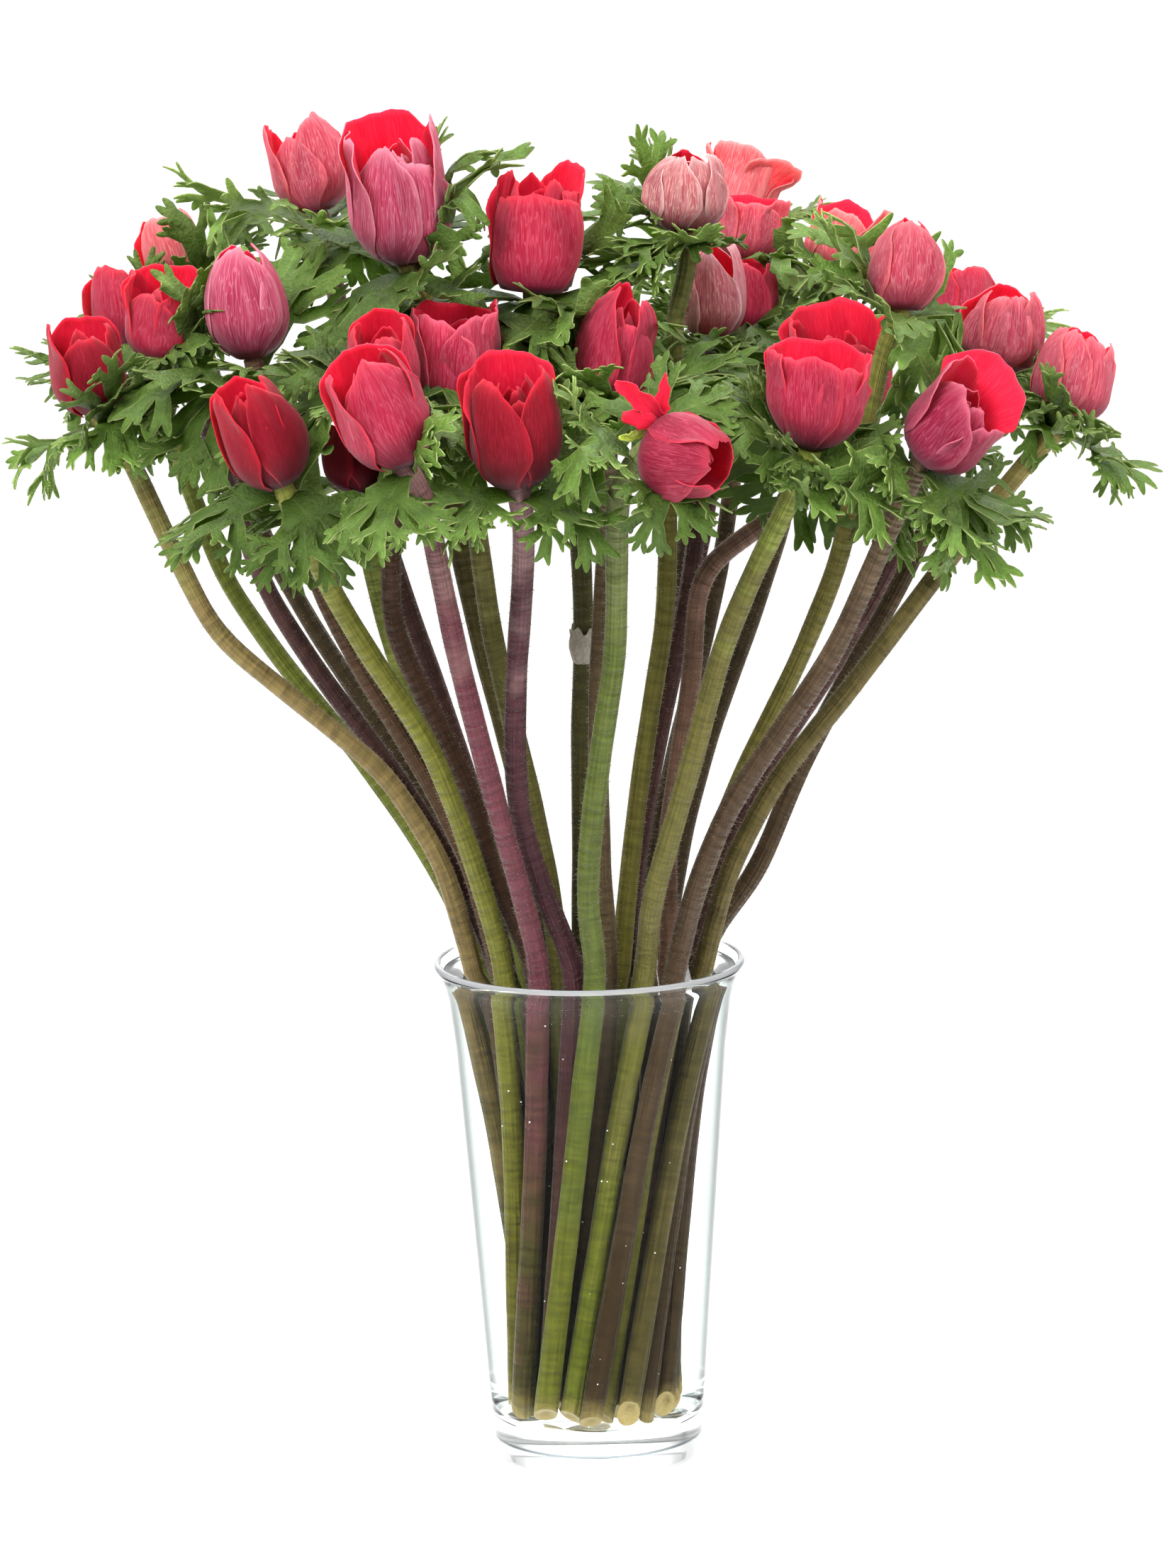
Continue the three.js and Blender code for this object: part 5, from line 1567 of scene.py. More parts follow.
    def hair_draft(self) -> MeshDraft:
        """Drafts the fine hairs that stand off the skin.

        Returns:
            The hairs, each a thin three-sided spike, most of them above the water.
        """
        rng = np.random.default_rng(2000 + self.flower.number)
        count = self.hairs
        way, side, other = self.frames()
        at = rng.uniform(0.4, 0.995, count) * (len(self.line) - 1)
        low = at.astype(int)
        part = (at - low)[:, None]
        centre = self.line[low] * (1 - part) + self.line[low + 1] * part
        radius = self.radii()[low][:, None]
        angle = rng.uniform(0, TURN, count)[:, None]
        out = np.cos(angle) * side[low] + np.sin(angle) * other[low]
        round_it = -np.sin(angle) * side[low] + np.cos(angle) * other[low]
        lean = way[low] * rng.normal(0.15, 0.25, (count, 1))
        lean = lean + round_it * rng.normal(0, 0.25, (count, 1))
        long = rng.uniform(0.6, 1.5, (count, 1))
        root = centre + out * (radius - 0.1)
        half = self.hair
        corners = [
            root + round_it * half,
            root - round_it * half * 0.5 + way[low] * half * 0.87,
            root - round_it * half * 0.5 - way[low] * half * 0.87,
            root + (out + lean) * long,
        ]
        faces = [
            (4 * k + a, 4 * k + b, 4 * k + c)
            for k in range(count)
            for a, b, c in ((0, 2, 1), (0, 1, 3), (1, 2, 3), (2, 0, 3))
        ]
        draft = MeshDraft()
        draft.add(np.stack(corners, 1).reshape(-1, 3), faces)
        return draft

    def dress(self, finishes: Finishes) -> list[Piece]:
        """Makes the stem and its hairs in place of the plain leafy stem.

        Args:
            finishes: the finishes.

        Returns:
            The two pieces.
        """
        tag = self.flower.tag
        finish = finishes.own_stems.get(self.flower.number, finishes.stems[self.flower.skin])
        skin = self.draft().piece(f"stalk_{tag}", [finish, finishes.pith])
        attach(skin, "root")
        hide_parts(f"leafy_stem_{tag}")
        hairs = self.hair_draft().piece(f"hairs_{tag}", [finishes.down])
        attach(hairs, "root")
        return [skin, hairs]


@dataclass
class PaperySheath:
    """The dry grey sheath round the joint of stem 8, under the leaves.

    Attributes:
        stalk: the stem.
        height: height of its middle.
        long: its length.
        sides: its corners round the stem.
        swells: its rings from below up: each one's place along it, from -0.5 to 0.5, and how far
            it stands off, as a share of the stem's radius.
        ragged_from: place from which its upper edge is ragged.
    """

    stalk: Stalk
    height: float = 293.0
    long: float = 12.0
    sides: int = 28
    swells: Rings = (
        (-0.5, 1.02), (-0.4, 1.14), (-0.25, 1.3), (-0.05, 1.42), (0.15, 1.36), (0.32, 1.22),
        (0.42, 1.28), (0.5, 1.3),
    )
    ragged_from: float = 0.3

    def dress(self, finishes: Finishes) -> Piece:
        """Makes the sheath: folded rings that stand off the stem and end ragged.

        Args:
            finishes: the finishes.

        Returns:
            The piece.
        """
        way, side, other = self.stalk.frames()
        at = int(np.abs(self.stalk.line[:, 2] - self.height).argmin())
        radius = self.stalk.radii()[at]
        angle = round_angles(self.sides)
        circle = np.cos(angle)[:, None] * side[at] + np.sin(angle)[:, None] * other[at]
        phase = np.random.default_rng(7500).random(4) * TURN
        rings = []
        for share, swell in self.swells:
            folds = 1 + 0.06 * np.sin(angle * 5 + phase[0] + share * 4)
            folds = folds + 0.04 * np.sin(angle * 9 + phase[1])
            ragged = (np.sin(angle * 4 + phase[2]) + np.sin(angle * 7 + phase[3])) * 0.9
            rise = share * self.long + ragged * (share > self.ragged_from)
            middle = self.stalk.line[at] + way[at] * rise[:, None]
            rings.append(middle + circle * (radius * swell * folds)[:, None])
        draft = MeshDraft()
        draft.add(np.concatenate(rings), grid_faces(len(rings), self.sides, closed=True))
        piece = draft.piece("papery_sheath_08", [finishes.husk, finishes.husk])
        thicken(piece, 0.25)
        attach(piece, "root")
        return piece


@dataclass
class AirBubbles:
    """Small air bubbles that cling to the stems under water.

    Attributes:
        stalks: the stems.
        count: how many there are.
        rows: rings of a bubble.
        sides: corners of a ring.
        heights: the heights between which they cling.
        sizes: the smallest and the largest radius.
    """

    stalks: Sequence[Stalk]
    count: int = 70
    rows: int = 4
    sides: int = 7
    heights: tuple[float, float] = (22.0, 170.0)
    sizes: tuple[float, float] = (0.15, 0.34)

    def dress(self, finishes: Finishes) -> Piece:
        """Makes the bubbles, each a little round of its own on a stem's front.

        Args:
            finishes: the finishes.

        Returns:
            The piece.
        """
        rng = np.random.default_rng(7700)
        draft = MeshDraft()
        tilt = np.linspace(0, math.pi, self.rows + 2)[1:-1, None]
        angle = round_angles(self.sides)
        ring = [np.sin(tilt) * np.cos(angle), np.sin(tilt) * np.sin(angle)]
        ring.append(np.cos(tilt) * np.ones(self.sides))
        ball = np.vstack([np.stack(ring, -1).reshape(-1, 3), [(0, 0, 1), (0, 0, -1)]])
        faces = grid_faces(self.rows, self.sides, closed=True)
        faces += fan_faces(len(ball) - 2, 0, self.sides, turned=True)
        faces += fan_faces(len(ball) - 1, (self.rows - 1) * self.sides, self.sides)
        low, high = self.heights
        for _ in range(self.count):
            stalk = self.stalks[int(rng.integers(len(self.stalks)))]
            under = np.flatnonzero((stalk.line[:, 2] > low) & (stalk.line[:, 2] < high))
            at = int(rng.choice(under))
            bearing = math.radians(rng.uniform(200, 340))
            out = np.array([math.cos(bearing), math.sin(bearing), 0.0])
            size = rng.uniform(*self.sizes)
            middle = stalk.line[at] + out * (stalk.radii()[at] + size * 0.6)
            draft.add(middle + ball * size, faces)
        piece = draft.piece("air_bubbles", [finishes.bubble])
        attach(piece, "root")
        return piece


# ---- blooms ----


@dataclass
class Bloom:
    """A bloom of cupped silky petals about its own axis.

    Attributes:
        flower: the flower that it belongs to.
        rows: corners of a petal along its length.
        columns: corners of a petal across it.
        thickness: a petal's thickness.
        belly: where along its length a petal lies furthest out.
        base: how far out its base lies, as a share of that.
        folding: how deep its soft folds are, as a share of the bloom's half width.
        rippling: how deep the ripples at its tip are.
        whorls: its whorls of three petals, where they aren't known one by one: how far each is
            turned, the least and most of its petals' length and reach, their half angle, and their
            opening, as a share of the bloom's, and how far it strays.
    """

    flower: Flower
    rows: int = 18
    columns: int = 21
    thickness: float = 0.35
    belly: float = 0.38
    base: float = 0.36
    folding: float = 0.048
    rippling: float = 0.042
    whorls: tuple[tuple[float, ...], ...] = (
        (0, 0.9, 1.0, 0.94, 1.0, 66, 1.0, 0.08),
        (60, 0.88, 1.0, 0.84, 0.9, 60, 0.9, 0.05),
        (20, 0.7, 0.84, 0.56, 0.64, 62, 0.4, 0.0),
    )

    def petals(self) -> list[Petal]:
        """Lists the petals.

        Returns:
            Its petals from the outermost in: those known one by one, or three whorls of three.
        """
        known = KNOWN_PETALS.get(self.flower.number)
        if known:
            return [Petal(*row) for row in known]
        rng = np.random.default_rng(3000 + self.flower.number)
        first = rng.uniform(0, 120)
        found = []
        for start, short, long, near, far, spread, share, stray in self.whorls:
            for k in range(3):
                size = rng.uniform(short, long), rng.uniform(near, far)
                opening = self.flower.open * share
                if stray:
                    opening += rng.uniform(-stray, stray)
                found.append(Petal(first + start + 120 * k, *size, spread, opening))
        return found

    def reach(self, along: np.ndarray, opening: float) -> np.ndarray:
        """Works out how far out a petal lies.

        Args:
            along: shares of its length.
            opening: 0 where its tip closes over the bloom to 1 for a cup's wall.

        Returns:
            How far out it lies there, as a share of the bloom's half width.
        """
        belly = HIGH_BELLIES.get(self.flower.number, self.belly)
        low = np.clip(along / belly, 0, 1)
        base = FULL_BASES.get(self.flower.number, self.base)
        below = base + (1 - base) * (1 - (1 - low) ** 2) ** 0.8
        high = np.clip((along - belly) / (1 - belly), 0, 1)
        closed = np.sqrt(1 - (0.95 * high) ** 2)
        cup = 1 + 0.08 * high**2
        return np.where(along < belly, below, closed + (cup - closed) * opening)

    def petal_sheet(self, petal: Petal, number: int) -> tuple[np.ndarray, np.ndarray, np.ndarray]:
        """Shapes one petal's outer face.

        Args:
            petal: the petal.
            number: its place in the bloom, which sets its own folds.

        Returns:
            Its corners row by row in the bloom's own frame, and each one's share across and along.
        """
        rng = np.random.default_rng(4000 + 50 * self.flower.number + number)
        phase = rng.random(12) * TURN
        half = self.flower.wide / 2 * petal.reach
        across, along = np.meshgrid(
            np.linspace(-1, 1, self.columns), np.linspace(0, 1, self.rows) ** 0.85
        )
        side = np.abs(across)
        # The tip's edge: round, a little wavy, finely uneven, and higher at one side if skewed.
        drop = petal.round_tip * side**2.8 + petal.skew * across
        waves = zip((2.6, 5.5, 10, 19), (0.018, 0.015, 0.01, 0.006), phase)
        wavy = sum(np.sin(across * n + p) * h for n, h, p in waves)
        run = along - (drop - wavy) * along**1.7
        reach = half * self.reach(np.clip(run, 0, 1), petal.open)
        # One side lies over the next petal and the other under its neighbour.
        reach = reach * (1 + 0.06 * across)
        tip = ease(along, 0.6, 1.0)
        edge = ease(side, 0.6, 1.0)
        reach += half * petal.curl * tip**2 * 1.2
        reach += half * 0.05 * edge * ease(along, 0.25, 0.8) * (0.4 + petal.open)
        waves = zip((2, 3.7, 6.5, 12), (1, 0.7, 0.4, 0.12), phase[4:])
        folds = sum(np.sin(across * n + 2.6 * along + p) * h for n, h, p in waves)
        reach += half * self.folding * folds * ease(along, 0.08, 0.7)
        ripple = np.sin(across * 8 + phase[8]) * 0.6 + np.sin(across * 15 + phase[9]) * 0.4
        reach += half * self.rippling * ripple * tip * (0.5 + petal.open)
        # It widens from a narrow base, and leans a little to one side.
        width = 0.66 + 0.34 * ease(along, 0.0, 0.42)
        spread = math.radians(petal.spread) * width * (1 - 0.12 * along**5)
        lean = math.radians(6) * np.sin(phase[10]) * along
        angle = math.radians(petal.at) + spread * across + lean
        height = self.flower.long * petal.long * run
        points = np.stack([reach * np.cos(angle), reach * np.sin(angle), height], -1)
        return points.reshape(-1, 3), across.ravel(), along.ravel()

    def dress(self, finishes: Finishes) -> list[Piece]:
        """Makes the petals in place of the plain bloom.

        Args:
            finishes: the finishes.

        Returns:
            The one piece.
        """
        draft = MeshDraft()
        rng = np.random.default_rng(5000 + self.flower.number)
        turned = self.flower.turned
        faces = grid_faces(self.rows, self.columns)
        for number, petal in enumerate(self.petals()):
            points, across, along = self.petal_sheet(petal, number)
            placed = points @ turned.T + np.array(self.flower.bloom)
            draft.add(placed, faces, across=across, along=along, tint=rng.random())
        back = finishes.petal_backs[self.flower.hue]
        back = finishes.own_backs.get(self.flower.number, back)
        piece = draft.piece(f"petals_{self.flower.tag}", [back, finishes.petal_face])
        thicken(piece, self.thickness)
        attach(piece, "root")
        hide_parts(f"bloom_{self.flower.tag}")
        return [piece]


@dataclass(frozen=True)
class Strip:
    """A narrow shred of petal or bract.

    Attributes:
        line: points of its middle.
        half: its half width at each of them.
        cup: how far its edges come forward, as a share of its half width.
    """

    line: tuple[Spot, ...]
    half: tuple[float, ...]
    cup: float = 0.35


@dataclass(frozen=True)
class TornPetals:
    """The two torn petals and the green bract that stick out at the upper left of bloom 23.

    Attributes:
        shreds: the red shreds, the first two of one torn petal.
        bract: the yellow-green bract under them.
        rows: corners of a shred along its length.
        columns: corners of a shred across it.
        thickness: a shred's thickness.
    """

    shreds: tuple[Strip, ...] = (
        Strip(
            (
                (26.5, -139, 381.5), (24.4, -142, 385.3), (21.6, -143, 388.5), (18.5, -142, 391.2),
                (15.1, -141, 393.6), (11.8, -140, 395.8),
            ),
            (2.2, 3.2, 3.3, 2.9, 2.6, 0.9),
            0.4,
        ),
        Strip(
            ((25.0, -140, 383.5), (26.2, -142, 388.2), (27.2, -142, 393.5), (27.8, -141, 398.6)),
            (2.0, 2.6, 1.9, 0.25),
        ),
        Strip(
            (
                (27.4, -139, 380.8), (23.3, -143, 382.6), (19.9, -144, 383.8), (17.0, -143, 384.5),
                (13.8, -142, 385.2),
            ),
            (2.0, 2.8, 2.7, 2.3, 1.2),
            -0.4,
        ),
    )
    bract: Strip = Strip(
        ((22.5, -138, 379.8), (18.0, -141, 378.9), (15.3, -142, 378.2), (12.5, -142, 378.4)),
        (1.0, 1.5, 1.4, 0.5),
    )
    rows: int = 14
    columns: int = 9
    thickness: float = 0.35

    def sheet(self, strip: Strip, seed: int) -> tuple[np.ndarray, np.ndarray, np.ndarray]:
        """Shapes one shred's face.

        Args:
            strip: the shred.
            seed: a number that sets its ragged edges.

        Returns:
            Its corners row by row, and each one's share across and along.
        """
        knots = np.arange(len(strip.line))
        even = np.linspace(0, len(strip.line) - 1, self.rows)
        line = np.stack([np.interp(even, knots, [p[k] for p in strip.line]) for k in range(3)], 1)
        line[1:-1] = (line[:-2] + line[2:] + 2 * line[1:-1]) / 4
        half = np.interp(even, knots, strip.half)
        side = np.cross(np.gradient(line, axis=0), (0.0, 1.0, 0.0))
        side /= np.linalg.norm(side, axis=1)[:, None]
        across, along = np.meshgrid(np.linspace(-1, 1, self.columns), np.linspace(0, 1, self.rows))
        phase = np.random.default_rng(7000 + seed).random(4) * TURN
        ragged = 1 + 0.16 * np.sin(along * 17 + phase[0] + 2 * np.sign(across))
        ragged = ragged + 0.1 * np.sin(along * 31 + phase[1])
        wide = half[:, None] * ragged * across
        ahead = strip.cup * half[:, None] * across**2
        ahead = ahead + 0.5 * np.sin(along * 7 + across * 2 + phase[2])
        points = line[:, None] + side[:, None] * wide[:, :, None]
        points = points + np.array([0.0, -1.0, 0.0]) * ahead[:, :, None]
        return points.reshape(-1, 3), across.ravel(), along.ravel()

    def dress(self, finishes: Finishes) -> list[Piece]:
        """Makes the red shreds and the bract.

        Args:
            finishes: the finishes.

        Returns:
            The two pieces.
        """
        pieces = []
        wanted = (
            ("torn_petals_23", self.shreds, finishes.petal_face),
            ("bract_23", (self.bract,), finishes.bract),
        )
        faces = grid_faces(self.rows, self.columns)
        for name, strips, finish in wanted:
            draft = MeshDraft()
            for number, strip in enumerate(strips):
                points, across, along = self.sheet(strip, number)
                draft.add(points, faces, across=across, along=along, tint=0.3 + 0.2 * number)
            piece = draft.piece(name, [finish, finish])
            thicken(piece, self.thickness)
            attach(piece, "root")
            pieces.append(piece)
        return pieces


# ---- leaves ----


@dataclass(frozen=True)
class LobeStyle:
    """How the lobes of one order of a leaf are cut.

    Attributes:
        long: a lobe's length, as a share of the leaf's.
        wide: its half width at its widest, as a share of the leaf's length.
        waist: its half width where it starts, as a share of that.
        bearings: its lobes' bearings from the one that they grow from.
        stations: how many sections it has.
        web: how far the notches between the lobes lie ahead of where they start.
        arch: how far it bends down along its length, in degrees.
        unruly: how far it strays from its bearing and arch, in degrees.
    """

    long: float
    wide: float
    waist: float
    bearings: tuple[float, ...]
    stations: int
    web: float
    arch: float
    unruly: float


@dataclass(frozen=True)
class Bud:
    """Where a lobe of a leaf starts.

    Attributes:
        order: how often the leaf has been cut up to this lobe.
        base: corners of its base: left, rib and right.
        centre: middle of its base.
        frame: the ways forward, sideways and up from its face.
        half: half width of its base.
        run: how far out on the leaf it starts, from 0 to 1.
        scale: its size beside others of its order.
    """

    order: int
    base: tuple[int, int, int]
    centre: Vector
    frame: tuple[Vector, Vector, Vector]
    half: float
    run: float = 0.0
    scale: float = 1.0


def towards(way: Vector, other: Vector, degrees: float) -> tuple[Vector, Vector]:
    """Turns a way towards another that is square to it, and the other with it."""
    c, s = math.cos(math.radians(degrees)), math.sin(math.radians(degrees))
    return way * c + other * s, other * c - way * s


@dataclass
class LeafWhorl:
    """The deeply cut leaves round a stem.

    Attributes:
        flower: the flower that they belong to.
        stalk: the stem that they grow from.
        crowd: what stands round them.
        orders: the lobes' cut, from the blade at the stem to the last teeth.
        thickness: a leaf's thickness.
        fold: how far a lobe's sides rise from its rib, as a share of its half width.
        stem_end: the share of the stem, from its end, whose way the leaves are square to.
        inner: how much longer leaves inside the bouquet are.
        front: how much shorter leaves at its front are.
        forked: the share of the last lobes that end in two teeth.
        detours: how far a lobe is bent, in degrees, until it stands clear of the blooms.
        stunted: size of a lobe that no bend clears.
    """

    flower: Flower
    stalk: Stalk
    crowd: "Crowd"
    orders: tuple[LobeStyle, ...] = (
        LobeStyle(0.27, 0.24, 0.5, (0.0,), 4, 0.0, 6, 6),
        LobeStyle(
            0.3, 0.128, 0.72, (-84.0, -56.0, -28.0, 0.0, 28.0, 56.0, 84.0), 3, 0.12, 14, 16
        ),
        LobeStyle(0.2, 0.076, 0.8, (-40.0, 0.0, 40.0), 3, 0.075, 12, 16),
        LobeStyle(0.15, 0.041, 0.95, (-33.0, 3.0, 35.0), 4, 0.04, 8, 12),
    )
    thickness: float = 0.4
    fold: float = 0.26
    stem_end: float = 0.24
    inner: float = 0.16
    front: float = 0.26
    forked: float = 0.35
    detours: tuple[float, ...] = (0.0, -38.0, -76.0, 45.0)
    stunted: float = 0.45

    def __post_init__(self) -> None:
        """Starts with no corners."""
        self.points: list[Vector] = []
        self.faces: list[Face] = []
        self.across: list[float] = []
        self.along: list[float] = []
        self.tint: list[float] = []
        self.length, self.own_tint = 0.0, 0.0
        self.rng = np.random.default_rng(6000 + self.flower.number)

    def corner(self, point: Vector, across: float, run: float) -> int:
        """Adds a corner of the leaf that grows now.

        Args:
            point: its place.
            across: 0 on a lobe's rib to 1 on its edge.
            run: how far out on the leaf it lies.

        Returns:
            Its number.
        """
        self.points.append(point)
        self.across.append(across)
        self.along.append(min(run, 1.0))
        self.tint.append(self.own_tint)
        return len(self.points) - 1

    def leaf(self, bearing: float, rise: float, size: float) -> None:
        """Grows one leaf.

        Args:
            bearing: its bearing about the stem.
            rise: how far it rises from level, in degrees.
            size: its length beside the flower's other leaves.
        """
        line = self.stalk.line
        above = int(len(line) * self.stem_end)
        along = Vector(unit(np.array(self.flower.bloom) - line[-above])).normalized()
        first = (Vector((1, 0, 0)) - along * along.x).normalized()
        second = along.cross(first)
        turn, lift = math.radians(bearing), math.radians(rise)
        out = first * math.cos(turn) + second * math.sin(turn)
        side = along.cross(out)
        forward = out * math.cos(lift) + along * math.sin(lift)
        normal = along * math.cos(lift) - out * math.sin(lift)
        # Leaves inside the bouquet are the longest, and those at its sides and front the shortest.
        inner = 1 - ease(abs(self.flower.whorl[0]), 105.0, 140.0)
        front = ease(-self.flower.whorl[1], 80.0, 115.0)
        grown = self.rng.uniform(1.0, 1.12) + self.inner * inner
        self.length = size * self.flower.leaf * grown * (1 - self.front * front)
        self.own_tint = float(self.rng.random())
        root = Vector(self.flower.collar) + out * self.flower.thick * 0.7
        forward = (forward + normal * 0.28).normalized()
        normal = side.cross(forward) * -1
        if normal.dot(along) < 0:
            normal = -normal
        half = self.flower.thick * 0.95
        left = self.corner(root - side * half, 1, 0)
        middle = self.corner(root, 0, 0)
        right = self.corner(root + side * half, 1, 0)
        self.grow(Bud(0, (left, middle, right), root, (forward, side, normal), half))

    def grow(self, bud: Bud) -> None:
        """Grows a lobe and the lobes on it.

        Args:
            bud: where it starts.
        """
        style = self.orders[bud.order]
        last = bud.order == len(self.orders) - 1
        forward, side, normal = bud.frame
        step = style.long * self.length * bud.scale / style.stations
        wide = style.wide * self.length * bud.scale
        droop = -style.arch + float(self.rng.normal(0, style.unruly))
        sweep = float(self.rng.normal(0, style.unruly * 0.6))
        twist = float(self.rng.normal(0, style.unruly * 0.9))
        left, middle, right = bud.base
        centre, run, half = bud.centre, bud.run, bud.half
        for station in range(1, style.stations + 1):
            share = station / style.stations
            forward, normal = towards(forward, normal, droop / style.stations)
            forward, side = towards(forward, side, sweep / style.stations)
            side, normal = towards(side, normal, twist / style.stations)
            if last:
                # The sections crowd towards the tip, so that it is round.
                before = math.sin((station - 1) / style.stations * math.pi / 2)
                share = math.sin(share * math.pi / 2)
                centre = centre + forward * (step * style.stations * (share - before))
            else:
                centre = centre + forward * step
            run += style.long / style.stations * bud.scale
            if last and station == style.stations:
                tip = self.corner(centre, 0.6, run)
                self.faces += [(left, middle, tip), (middle, right, tip)]
                return
            half = self.half_width(bud.order, share, bud.half, wide)
            new = (
                self.corner(centre - side * half + normal * half * self.fold, 1, run),
                self.corner(centre, 0, run),
                self.corner(centre + side * half + normal * half * self.fold, 1, run),
            )
            self.faces += [(left, middle, new[1], new[0]), (middle, right, new[2], new[1])]
            left, middle, right = new
        base, frame = (left, middle, right), (forward, side, normal)
        self.branch(Bud(bud.order + 1, base, centre, frame, half, run, bud.scale))

    def half_width(self, order: int, share: float, start: float, wide: float) -> float:
        """Works out a lobe's half width.

        Args:
            order: the lobe's order.
            share: how far along it.
            start: its half width where it starts.
            wide: its half width at its widest.

        Returns:
            Its half width there.
        """
        if order == 0:
            return start + (wide - start) * share**1.3
        if order == len(self.orders) - 1:
            return wide * (1 - 0.8 * share**3)
        waist = self.orders[order].waist
        return wide * (waist + (1 - waist) * share)

    def branch(self, bud: Bud) -> None:
        """Splits a lobe's end into the lobes of the next order, with a notch between each two.

        Args:
            bud: the lobe's end, with the next order.
        """
        style = self.orders[bud.order]
        forward, side, normal = bud.frame
        half = bud.half
        bearings = [b + float(self.rng.normal(0, style.unruly * 0.5)) for b in style.bearings]
        if bud.order == 3 and self.rng.random() < self.forked:
            # Some lobes end in two teeth.
            bearings = [-20.0 + float(self.rng.normal(0, 4)), 22.0]
        count = len(bearings)
        edges = [bud.base[0]]
        for k in range(1, count):
            off = 2 * k / count - 1
            deep = style.web * self.length * bud.scale * (1 - 0.4 * abs(off))
            deep *= float(self.rng.uniform(0.8, 1.2))
            notch = bud.centre + side * (off * half * 1.25) + forward * deep + normal * half * 0.2
            edges.append(self.corner(notch, 1, bud.run))
        edges.append(bud.base[2])
        for bearing, left, right in zip(bearings, edges, edges[1:]):
            start = (self.points[left] + self.points[right]) / 2 - normal * half * 0.16
            rib = self.corner(start, 0, bud.run)
            self.faces += [(left, bud.base[1], rib), (bud.base[1], right, rib)]
            ahead, new_side = towards(forward, side, bearing)
            tilt = float(self.rng.normal(0, style.unruly)) + 0.1 * abs(bearing)
            ahead, up = towards(ahead, normal, tilt)
            outer = 1 - 0.3 * abs(bearing) / 84
            size = bud.scale * outer * float(self.rng.uniform(0.86, 1.12))
            reach = sum(later.long for later in self.orders[bud.order :]) * self.length * size
            for bend in self.detours:
                bent, bent_up = towards(ahead, up, bend)
                spots = (start + bent * reach * part for part in (0.5, 1.0))
                if not any(self.crowd.veils(spot, self.flower) for spot in spots):
                    ahead, up = bent, bent_up
                    break
            else:
                if bud.order >= 2:
                    continue
                size *= self.stunted
            width = (self.points[left] - self.points[right]).length / 2
            frame = (ahead, new_side, up)
            self.grow(Bud(bud.order, (left, rib, right), start, frame, width, bud.run, size))

    def dress(self, finishes: Finishes) -> Piece:
        """Makes the leaves, pushed clear of the blooms and stems round them.

        Args:
            finishes: the finishes.

        Returns:
            The piece.
        """
        for number, rise in enumerate(self.flower.lift):
            self.leaf(self.flower.turn + 120 * number, rise, 1.0)
        for further in FURTHER_LEAVES.get(self.flower.number, ()):
            self.leaf(*further)
        draft = MeshDraft()
        points = self.crowd.cleared(np.array([tuple(p) for p in self.points]), self.flower)
        draft.add(points, self.faces, across=self.across, along=self.along, tint=self.tint)
        sides = [finishes.leaf_under, finishes.leaf_top]
        piece = draft.piece(f"leaves_{self.flower.tag}", sides)
        thicken(piece, self.thickness, 0.0)
        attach(piece, "root")
        return piece


